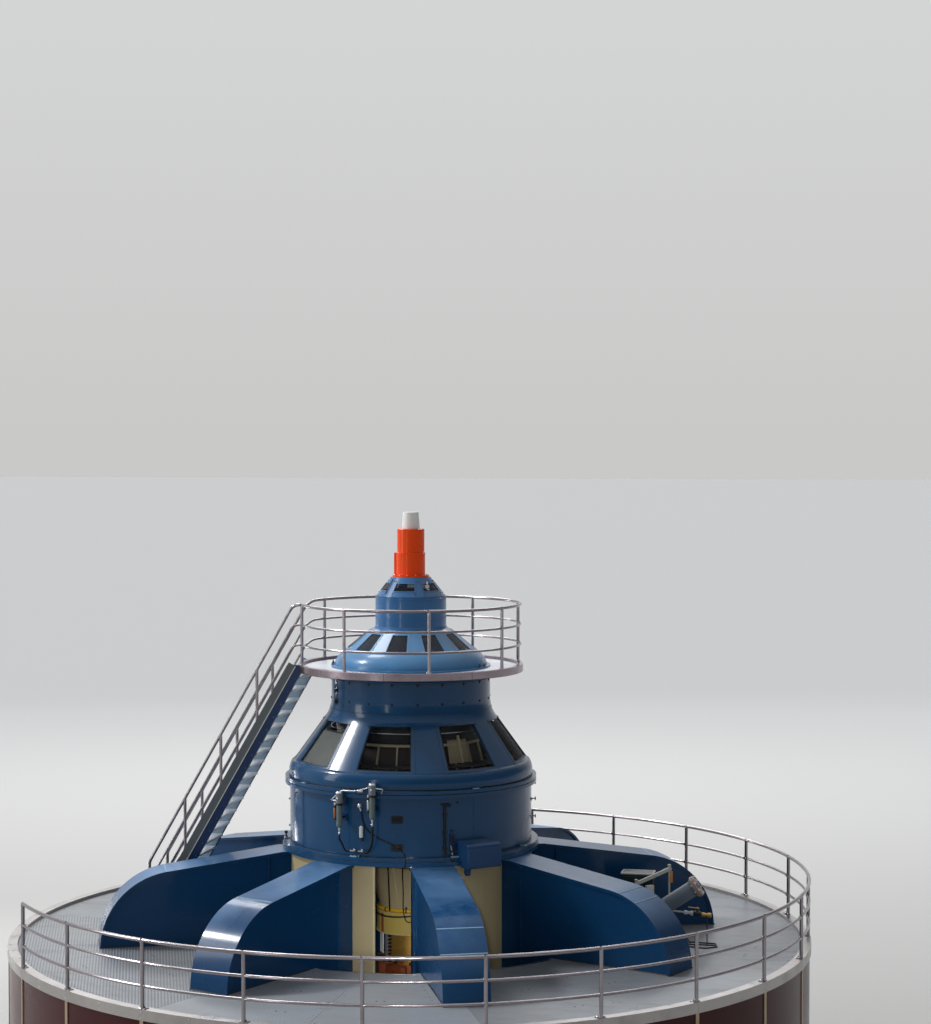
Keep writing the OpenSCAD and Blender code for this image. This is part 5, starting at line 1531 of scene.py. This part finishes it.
def pilot_windows():
    """Frames round the pilot cone's windows, with the fine louvre slats behind the glass."""
    frames, slats, screws = shapes(3)
    low_z, high_z = PILOT_CONE_Z + 0.026, PILOT_CONE_END_Z - 0.026
    lift = (0.0005, 0.005)
    rise = math.degrees(math.atan2(PILOT_LOW_R - PILOT_HIGH_R, PILOT_CONE_END_Z - PILOT_CONE_Z))
    for i in range(PILOT_WINDOWS):
        middle = (i + 0.5) * 360 / PILOT_WINDOWS
        for sign in (-1, 1):
            arc = sorted((middle + sign * (PILOT_HALF + 0.2), middle + sign * (PILOT_HALF + 2.6)))
            frames.cone_sheet(pilot_r, low_z - 0.016, high_z + 0.014, arc, arc, lift, 3)
        arc = (middle - PILOT_HALF - 0.2, middle + PILOT_HALF + 0.2)
        frames.cone_sheet(pilot_r, low_z - 0.016, low_z - 0.001, arc, arc, lift, 12)
        frames.cone_sheet(pilot_r, high_z + 0.001, high_z + 0.014, arc, arc, lift, 12)
        for k in range(15):
            a = middle - PILOT_HALF + 0.6 + k * (2 * PILOT_HALF - 1.2) / 14
            slats.cone_sheet(pilot_r, low_z, high_z, (a - 0.16, a + 0.16), (a - 0.16, a + 0.16), (-0.022, -0.012), 1)
        for sign in (-1, 1):
            for z in (low_z + 0.02, high_z - 0.01):
                side = middle + sign * (PILOT_HALF + 1.4)
                screws.dome(at(pilot_r(z) + 0.005, side, z), outward(side, rise), 0.007, 8)
    frames.made("pilot_window_frames", BLUE_LIGHT, "blue_paint", 25)
    slats.made("pilot_window_slats", SLAT_GREY, "grey_fittings")
    screws.made("pilot_window_screws", STEEL, "stainless")


def cap_details():
    """Raised window frames, bolts, the slot strip, the hasp and the ring of screws of the cap."""
    frames, bolts, dark, hasp = shapes(4)
    rise = math.degrees(math.atan2(CAP_LOW_R - CAP_HIGH_R, CAP_END_Z - CAP_FOOT_Z))
    low_z, high_z = CAP_FOOT_Z + 0.092, CAP_END_Z - 0.092
    lift = (0.0005, 0.006)
    for i in range(6):
        middle = (i + 0.5) * 60.0
        for sign in (-1, 1):
            arc = sorted((middle + sign * (CAP_HALF + 0.3), middle + sign * (CAP_HALF + 2.4)))
            frames.cone_sheet(cap_r, low_z - 0.012, high_z + 0.012, arc, arc, lift, 3)
        arc = (middle - CAP_HALF - 0.3, middle + CAP_HALF + 0.3)
        frames.cone_sheet(cap_r, low_z - 0.012, low_z - 0.002, arc, arc, lift, 10)
        frames.cone_sheet(cap_r, high_z + 0.002, high_z + 0.012, arc, arc, lift, 10)
        for side, z in ((middle - 26.4, high_z + 0.034), (middle - 21.2, low_z - 0.038), (middle + 21.2, low_z - 0.038),
                        (middle + 26.4, high_z + 0.034)):
            bolts.bolt(at(cap_r(z), side, z), outward(side, rise), 0.008)
    for base in (-130.0, 50.0):
        dark.tube([at(cap_r(CAP_END_Z - 0.03) + 0.004, base - 3.5, CAP_END_Z - 0.03),
                   at(cap_r(CAP_FOOT_Z + 0.05) + 0.004, base + 2.6, CAP_FOOT_Z + 0.05)], 0.007, 8)
        turn = base + 90
        z = CAP_FOOT_Z + 0.155
        hasp.plate(cap_r(z) + 0.001, turn, z, 0.070, 0.05, 0.016, 0.005, 0.002)
        hasp.turned(at(cap_r(z) + 0.010, turn, z - 0.05), UP, [(0.007, 0), (0.007, 0.13)], 8)
        hasp.bolt(at(cap_r(z - 0.045) + 0.004, turn, z - 0.045), outward(turn, rise), 0.009)
    for i in range(18):
        azimuth = i * 20 + 10
        z = CAP_FOOT_Z + 0.018
        bolts.dome(at(cap_r(z), azimuth, z), outward(azimuth, rise), 0.008, 10)
        bolts.dome(at(cap_r(CAP_END_Z - 0.012), azimuth, CAP_END_Z - 0.012), outward(azimuth, rise), 0.006, 10)
    dark.lathe([(PILOT_R - 0.004, PILOT_END_Z), (PILOT_R - 0.001, PILOT_END_Z), (PILOT_R - 0.001, PILOT_END_Z + 0.004),
                (PILOT_R - 0.004, PILOT_END_Z + 0.004)])
    frames.made("cap_window_frames", BLUE_CAP, "blue_paint", 25)
    bolts.made("cap_bolts", DARK_STEEL, "dark_steel")
    dark.made("cap_slot_strips", BLACK, "dark_steel")
    hasp.made("cap_hasps", STEEL, "stainless")


def cover_details():
    """Beaded joint, rounded shoulder, screws and the box lid of the orange cover."""
    beads, screws = shapes(2)
    beads.lathe([(COVER_TOP_R, COVER_SPLIT_Z - 0.002), (COVER_R + 0.004, COVER_SPLIT_Z - 0.006),
                 (COVER_R + 0.005, COVER_SPLIT_Z + 0.004),
                 (COVER_TOP_R + 0.004, COVER_SPLIT_Z + 0.012), (COVER_TOP_R, COVER_SPLIT_Z + 0.012)])
    beads.lathe([(COVER_TOP_R - 0.002, COVER_END_Z - 0.012), (COVER_TOP_R + 0.002, COVER_END_Z - 0.010),
                 (COVER_TOP_R - 0.002, COVER_END_Z + 0.001),
                 (COVER_TOP_R - 0.016, COVER_END_Z + 0.007), (COVER_TOP_R - 0.060, COVER_END_Z + 0.008),
                 (COVER_TOP_R - 0.064, COVER_END_Z - 0.002)])
    flange_z = CAP_END_Z + 0.03
    for i in range(12):
        azimuth = i * 30
        if abs(azimuth - 165) > 30:
            screws.bolt(at(0.252, azimuth, flange_z), UP, 0.007)
    out, along = outward(165), sideways(165)
    face = out * (COVER_R + 0.032) + UP * (flange_z + 0.168)
    beads.slab(face, along, UP, 0.128, 0.30, 0.003, 0.01, 0.001)
    for side in (-0.05, 0.05):
        for z in (-0.13, 0.13):
            screws.dome(face + out * 0.003 + along * side + UP * z, out, 0.006, 10)
    seam = [at(COVER_R + 0.001, azimuth, z) for azimuth, z in ((-118, flange_z + 0.004), (-118, COVER_SPLIT_Z - 0.006))]
    beads.tube(seam, 0.004, 6)
    beads.made("cover_beads_and_lid", ORANGE, "orange_paint")
    screws.made("cover_screws", STEEL, "stainless")


pilot_base()
pilot_windows()
cap_details()
cover_details()


# Fittings on the deck

PIPE_FOOT_R = 3.35
PIPE_D = 0.24
PIPE_BEND = PIPE_D * 0.85
END_FLANGE_R = PIPE_D / 2 + 0.045
PIPE_RISE = math.radians(34)
PIPE_LENGTH = 1.13


def pipe_end():
    """The middle and the direction of the inclined pipe's end."""
    way = Vector((math.cos(PIPE_RISE), 0, math.sin(PIPE_RISE)))
    turn = math.pi / 2 - PIPE_RISE
    start = Vector((PIPE_FOOT_R + PIPE_BEND * (1 - math.cos(turn)), 0, DECK_Z + 0.07 + PIPE_BEND * math.sin(turn)))
    return start + way * PIPE_LENGTH, way


def drain_pipe_details():
    """Bolts of the pipe's foot flange and blind flange, its weld neck and lifting eye."""
    bolts, rings, disc = shapes(3)
    for i in range(8):
        a = i * 45 + 22.5
        place = Vector((PIPE_FOOT_R, 0, DECK_Z + 0.024)) + outward(a) * (PIPE_D / 2 + 0.030)
        bolts.bolt(place, UP, 0.013)
    end, way = pipe_end()
    across, over = axes_for(way)
    for i in range(8):
        a = math.radians(i * 45 + 22.5)
        spot = end + (across * math.cos(a) + over * math.sin(a)) * (PIPE_D / 2 + 0.022)
        bolts.bolt(spot + way * 0.048, way, 0.014)
        bolts.turned(spot, -way, [(0.014, 0), (0.014, 0.012), (0.008, 0.014), (0.008, 0.026)], 6)
    rings.turned(end - way * 0.06, way, [(PIPE_D / 2 + 0.001, 0), (PIPE_D / 2 + 0.016, 0.045),
                                         (PIPE_D / 2 + 0.016, 0.060)], 48)
    rings.turned(end + way * 0.048, way, [(0.07, 0), (0.07, 0.006), (0.062, 0.010)], 40)
    rings.tube(flowing([end + way * 0.055 - over * 0.03, end + way * 0.095, end + way * 0.055 + over * 0.03], 8),
               0.008, 8)
    rings.turned(end - way * 0.62, way, [(PIPE_D / 2 + 0.001, 0), (PIPE_D / 2 + 0.005, 0.004),
                                         (PIPE_D / 2 + 0.005, 0.012), (PIPE_D / 2 + 0.001, 0.016)], 48)
    disc.turned(end - way * 0.0005, way, [(END_FLANGE_R, 0), (END_FLANGE_R + 0.001, 0.001),
                                          (END_FLANGE_R + 0.001, 0.048),
                                          (END_FLANGE_R - 0.002, 0.050)], 48)
    disc.made("drain_pipe_end_flange", PINK_GREY, "grey_fittings")
    bolts.made("drain_pipe_bolts", STEEL, "stainless")
    rings.made("drain_pipe_rings", PIPE_GREY, "grey_fittings")


VALVE_Z = up(0.42)
STAND_X = 4.56


def sample_valve():
    """The small valve line beside the arm, carried by a thin stand with a flat frame foot."""
    line, body, brass, handle, stand = shapes(5)
    along = Vector((0.997, -0.03, -0.075)).normalized()
    start = Vector((4.04, 0.0, VALVE_Z + 0.03))
    line.tube([start - along * 0.02, start + along * 0.20], 0.013, 12)
    line.turned(start + along * 0.17, along, [(0.022, 0), (0.030, 0.008), (0.030, 0.05), (0.024, 0.056), (0.024, 0.10),
                                              (0.034, 0.105),
                                              (0.034, 0.14), (0.020, 0.146)], 20)
    body.turned(start + along * 0.31, along, [(0.026, 0), (0.038, 0.015), (0.044, 0.04), (0.044, 0.09), (0.036, 0.115),
                                              (0.026, 0.13)], 20)
    body.turned(start + along * 0.375 + UP * 0.035, UP, [(0.016, 0), (0.016, 0.03), (0.010, 0.034), (0.010, 0.048)], 12)
    lever_foot = start + along * 0.375 + UP * 0.080
    handle.slab(lever_foot - along * 0.055, along, UP.cross(along), 0.17, 0.028, 0.010, 0.012, 0.003)
    handle.turned(lever_foot - UP * 0.006, UP, [(0.018, 0), (0.018, 0.022), (0.012, 0.026)], 12)
    brass.turned(start + along * 0.44, along, [(0.024, 0), (0.032, 0.004), (0.032, 0.05), (0.026, 0.056),
                                               (0.026, 0.09), (0.036, 0.094),
                                               (0.036, 0.14), (0.030, 0.146)], 8)
    hold = Vector((STAND_X, (start + along * 0.55).y, VALVE_Z))
    top = hold - UP * 0.036
    stand.tube([Vector((hold.x, hold.y, DECK_Z + 0.012)), top], 0.0085, 10)
    stand.turned(top - UP * 0.01, UP, [(0.014, 0), (0.022, 0.008), (0.022, 0.016)], 12)
    foot = [Vector((hold.x + x, hold.y + y, DECK_Z + 0.010)) for x, y in
            ((-0.34, -0.14), (0.0, -0.22), (0.16, -0.10), (0.12, 0.12), (-0.30, 0.16), (-0.34, -0.14))]
    stand.tube(rounded(foot, 0.03), 0.010, 8)
    stand.tube([Vector((hold.x - 0.3, hold.y, DECK_Z + 0.010)), Vector((hold.x + 0.13, hold.y, DECK_Z + 0.010))],
               0.009, 8)
    prop = [start + along * 0.02, Vector((4.33, -0.12, DECK_Z + 0.018))]
    stand.tube(prop, 0.007, 8)
    line.made("sample_line", WHITE, "white_plastic")
    body.made("sample_valve_body", DARK, "grey_fittings")
    handle.made("sample_valve_lever", YELLOW, "yellow_paint")
    brass.made("sample_valve_brass_end", BRASS, "ring_brass")
    stand.made("sample_valve_stand", DARK_STEEL, "dark_steel")


def tube_frame():
    """The light tube frame in front of the control box: two posts, a slanted head bar and a pale post."""
    bars, pale, tag = shapes(3)
    left = Vector((3.46, 0.20, 0))
    right = Vector((3.92, 0.55, 0))
    left_top, right_top = up(0.80), up(0.98)
    bars.tube([left + UP * DECK_Z, left + UP * left_top], 0.016, 12)
    bars.tube([right + UP * DECK_Z, right + UP * right_top], 0.016, 12)
    way = right + UP * right_top - left - UP * left_top
    along = way.normalized()
    bars.slab(left + UP * left_top + way * 0.5, along, along.cross(UP).cross(along).normalized(), way.length + 0.05,
              0.055,
              0.032, 0.006, 0.003)
    for post in (left, right):
        bars.slab(post + UP * DECK_Z, ALONG_X, ALONG_Y, 0.12, 0.12, 0.010, 0.01, 0.002)
    for end, z in ((left, left_top), (right, right_top)):
        bars.turned(end + UP * z, UP, [(0.018, 0), (0.018, 0.030), (0.026, 0.036), (0.026, 0.060), (0.016, 0.068)], 12)
    middle = left + (right - left) * 0.38
    pale.slab(Vector((middle.x, middle.y, (DECK_Z + up(0.76)) / 2)), (right - left).normalized(), UP, 0.13,
              up(0.76) - DECK_Z, 0.05, 0.01, 0.003)
    tag.slab(right + UP * (right_top - 0.13) + (right - left).normalized() * 0.03, (right - left).normalized(), UP,
             0.040, 0.17, 0.022, 0.006, 0.002)
    bars.made("tube_frame", FRAME_PALE, "grey_fittings")
    pale.made("tube_frame_pale_post", WHITE, "white_plastic")
    tag.made("tube_frame_yellow_strip", YELLOW_ORANGE, "yellow_paint")


def control_box_details():
    """Door, hinges, latch, rim and rain edge of the control box."""
    door, rim, parts = shapes(3)
    box_low, box_high = low("control_box"), high("control_box")
    middle_x = (box_low.x + box_high.x) / 2
    width, height = box_high.x - box_low.x, box_high.z - box_low.z
    front = Vector((middle_x, box_low.y, box_low.z + height / 2))
    door.slab(front, ALONG_X, UP, width - 0.05, height - 0.09, 0.010, 0.012, 0.004)
    for z in (box_low.z + 0.18, box_high.z - 0.18):
        parts.turned(Vector((box_low.x + 0.020, box_low.y - 0.012, z - 0.035)), UP, [(0.008, 0), (0.008, 0.07)], 10)
    parts.slab(Vector((box_high.x - 0.06, box_low.y - 0.010, box_low.z + height * 0.55)), ALONG_X, UP, 0.03, 0.12,
               0.018, 0.008, 0.003)
    top = box_high.z
    for a, b in (((box_low.x, box_low.y), (box_high.x, box_low.y)), ((box_high.x, box_low.y), (box_high.x, box_high.y)),
                 ((box_high.x, box_high.y), (box_low.x, box_high.y)),
                 ((box_low.x, box_high.y), (box_low.x, box_low.y))):
        rim.tube([Vector((a[0], a[1], top - 0.008)), Vector((b[0], b[1], top - 0.008))], 0.014, 8)
    door.made("control_box_door", DARK, "grey_fittings")
    rim.made("control_box_rim", FRAME_PALE, "grey_fittings")
    parts.made("control_box_hinges", STEEL, "stainless")


drain_pipe_details()
sample_valve()
tube_frame()
control_box_details()


# Stair

STAIR_NEAR_Y = -0.642
STAIR_FAR_Y = 0.178
STAIR_NOSE_X = -1.686
STEP_RISE = 0.1976
STAIR_SLOPE = math.radians(60)
STRINGER_UP = 0.155
STRINGER_DEEP = 0.25
STRINGER_HALF_T = 0.030
SIDE_PLATE_SHORT = 0.12


def stair_side_plates():
    """The grey plate and the pale bead on the near stringer's face, and a pale blue sheet on the far one's inner face:
    painted light for that lit face.
    """
    grey, bead, lining = shapes(3)
    along = Vector((math.cos(STAIR_SLOPE), 0, math.sin(STAIR_SLOPE)))
    across = Vector((-math.sin(STAIR_SLOPE), 0, math.cos(STAIR_SLOPE)))
    drop = PLATFORM_Z - DECK_Z
    middle = Vector((STAIR_NOSE_X - drop / math.tan(STAIR_SLOPE) / 2, STAIR_NEAR_Y - STRINGER_HALF_T,
                     DECK_Z + drop / 2))
    top_edge = STRINGER_UP * math.cos(STAIR_SLOPE)
    centre = top_edge - STRINGER_DEEP / 2
    length = drop / math.sin(STAIR_SLOPE) - SIDE_PLATE_SHORT
    middle += along * (SIDE_PLATE_SHORT - 0.25) / -2
    half = STRINGER_DEEP / 2
    grey.slab(middle + across * (centre + half / 2), along, across, length, half - 0.006, 0.004, 0.004, 0.001)
    bead.slab(middle + across * centre, along, across, length, 0.014, 0.010, 0.004, 0.002)
    inside = middle + Vector((0, STAIR_FAR_Y - STAIR_NEAR_Y, 0))
    lining.slab(inside + across * centre, along, across, length, STRINGER_DEEP - 0.012, 0.004, 0.004, 0.001)
    grey.made("stair_side_plate", SIDE_GREY, "grey_fittings")
    bead.made("stair_side_bead", FRAME_PALE, "grey_fittings")
    lining.made("stair_inner_painted_light_lining", STAIR_PAINTED_LIGHT, "blue_paint")


def stair_details():
    """Tread nosings and grip ribs, bolts on the stringers' faces, and plates with bolts where the stringers stand on
    the deck.
    """
    nosings, ribs, plates, bolts = shapes(4)
    mid_y = (STAIR_NEAR_Y + STAIR_FAR_Y) / 2
    width = STAIR_FAR_Y - STAIR_NEAR_Y - 0.062
    for i in range(1, 21):
        z = PLATFORM_Z - i * STEP_RISE
        x = STAIR_NOSE_X - i * STEP_RISE / math.tan(STAIR_SLOPE)
        nosings.slab(Vector((x - 0.019, mid_y, z - 0.016)), ALONG_Y, UP, width, 0.034, -0.012, 0.004, 0.001)
        for k in range(5):
            ribs.slab(Vector((x + 0.025 + k * 0.042, mid_y, z)), ALONG_X, ALONG_Y, 0.014, width - 0.03, 0.004, 0.003,
                      0.001)
        for y, way in ((STAIR_NEAR_Y - 0.030, -1), (STAIR_FAR_Y + 0.030, 1)):
            for dx in (0.03, 0.15):
                bolts.bolt(Vector((x + dx, y, z - 0.016)), Vector((0, way, 0)), 0.008)
    for y, way in ((STAIR_NEAR_Y, -1), (STAIR_FAR_Y, 1)):
        edge = y + way * 0.0301
        foot_x = STAIR_NOSE_X - (PLATFORM_Z - DECK_Z) / math.tan(STAIR_SLOPE)
        plates.slab(Vector((foot_x + 0.10, y, DECK_Z)), ALONG_X, ALONG_Y, 0.30, 0.13, 0.012, 0.01, 0.003)
        for dx in (-0.02, 0.22):
            bolts.bolt(Vector((foot_x + dx, edge + way * 0.018, DECK_Z + 0.012)), UP, 0.010)
    nosings.made("stair_nosings", TREAD, "tread_steel")
    ribs.made("stair_tread_ribs", TREAD, "tread_steel")
    plates.made("stair_foot_plates", NAVY, "blue_paint")
    bolts.made("stair_bolts", DARK_STEEL, "dark_steel")


stair_side_plates()
stair_details()


# Floor, sky and lamps

def stage_floor():
    mesh = bpy.data.meshes.new("floor")
    mesh.from_pydata([(x * FLOOR_HALF, y * FLOOR_HALF, 0) for x, y in ((-1, -1), (1, -1), (1, 1), (-1, 1))], [],
                     [(0, 1, 2, 3)])
    floor = bpy.data.objects.new("floor", mesh)
    made, g, shader = material("floor_finish")
    away = g.node("VectorMath", {0: g.place()}, operation="LENGTH").outputs["Value"]
    g.feed(shader.inputs["Base Color"], g.mix(g.span(away, NEAR_FLOOR, FAR_FLOOR), linear(NEAR_COLOUR),
                                              linear(FAR_COLOUR)))
    shader.inputs["Roughness"].default_value = 0.9
    mesh.materials.append(made)
    bpy.context.scene.collection.objects.link(floor)


def sky():
    """Even light on the object. Camera, mirrors and glass see the backdrop, which is dark behind the camera."""
    world = bpy.data.worlds.new("studio")
    world.use_nodes = True
    world.node_tree.nodes.clear()
    g = Graph(world.node_tree)
    ray = g.node("LightPath").outputs
    seen = g.math("MAXIMUM", g.math("MAXIMUM", ray["Is Camera Ray"], ray["Is Transmission Ray"]), ray["Is Glossy Ray"])
    parts = g.node("SeparateXYZ", {"Vector": g.node("TexCoord").outputs["Generated"]}).outputs
    height = parts["Z"]
    pale = g.mix(g.span(height, 0.0, WHITE_HEIGHT), linear(SKY_LOW), linear(SKY_HIGH))
    behind = g.math("MAXIMUM", g.span(parts["Y"], *DARK_BEHIND), g.span(parts["X"], *DARK_RIGHT))
    dark = g.math("MULTIPLY", g.math("MULTIPLY", behind, g.span(height, *DARK_HEIGHT)), DARK_AMOUNT)
    pale = g.mix(dark, pale, linear(SKY_DARK))
    light = g.node("Background", {"Color": linear("#eef1f6"), "Strength": SKY_LIGHT})
    backdrop = g.node("Background", {"Color": pale, "Strength": 1.0})
    both = g.node("MixShader", {0: seen, 1: light.outputs[0], 2: backdrop.outputs[0]})
    output = g.node("OutputWorld")
    world.node_tree.links.new(both.outputs[0], output.inputs[0])
    bpy.context.scene.world = world


def lamp(name, kind, power, colour, direction, place=(0, 0, 0)):
    """A lamp at its place, shining in the given direction."""
    data = bpy.data.lights.new(name, kind)
    data.energy = power
    data.color = linear(colour)[:3]
    made = bpy.data.objects.new(name, data)
    made.location = place
    made.rotation_euler = Vector(direction).to_track_quat("-Z", "Y").to_euler()
    bpy.context.scene.collection.objects.link(made)
    return data


def sun(direction, strength, soft, colour):
    lamp("window_light", "SUN", strength, colour, direction).angle = math.radians(soft)


def softbox(name, place, aim, size, power, colour="#ffffff"):
    data = lamp(name, "AREA", power, colour, Vector(aim) - Vector(place), place)
    data.shape = "RECTANGLE"
    data.size, data.size_y = size


def spot(name, place, aim, degrees, power, colour="#ffffff"):
    """A narrow soft lamp that reaches into a recess."""
    data = lamp(name, "SPOT", power, colour, Vector(aim) - Vector(place), place)
    data.spot_size = math.radians(degrees)
    data.spot_blend = 0.7
    data.shadow_soft_size = 0.8


SKY_LIGHT = 0.34
NEAR_FLOOR, FAR_FLOOR = 12.0, 60.0
NEAR_COLOUR, FAR_COLOUR = "#b6b6b3", "#f0f0ee"
FLOOR_HALF = 600
# The backdrop's shares, along the direction looked in: where it turns white, and where its dark part starts and ends.
WHITE_HEIGHT = 0.8
DARK_BEHIND, DARK_RIGHT, DARK_HEIGHT = (0.0, -0.5), (0.2, 0.7), (0.75, 0.35)
DARK_AMOUNT = 0.9
SKY_LOW, SKY_HIGH, SKY_DARK = "#c9c9c8", "#f4f6fa", "#2b2d31"

stage_floor()
sky()
sun((0.74, 0.02, -0.67), 1.8, 8, "#fdfdff")
softbox("left_softbox", (-22, -10, 13), (0, 0, 5), (5, 14), 1400)
softbox("high_softbox", (-8.5, 4, 24), (0, 0, 7), (5, 5), 1200)
softbox("back_softbox", (-12, 40, 34), (0, 0, 5), (30, 12), 8000)
softbox("side_softbox", (-18.3, 12.2, 3.2), (0, 0, 5), (1.4, 5), 420)
softbox("front_softbox", (-9, -24, 10), (0, 0, 5), (1.6, 9), 300)
spot("recess_spot", (5.5, -26, 9.5), (0.0, -0.9, 3.72), 6.0, 13000)

bpy.context.scene.view_settings.view_transform = "Standard"
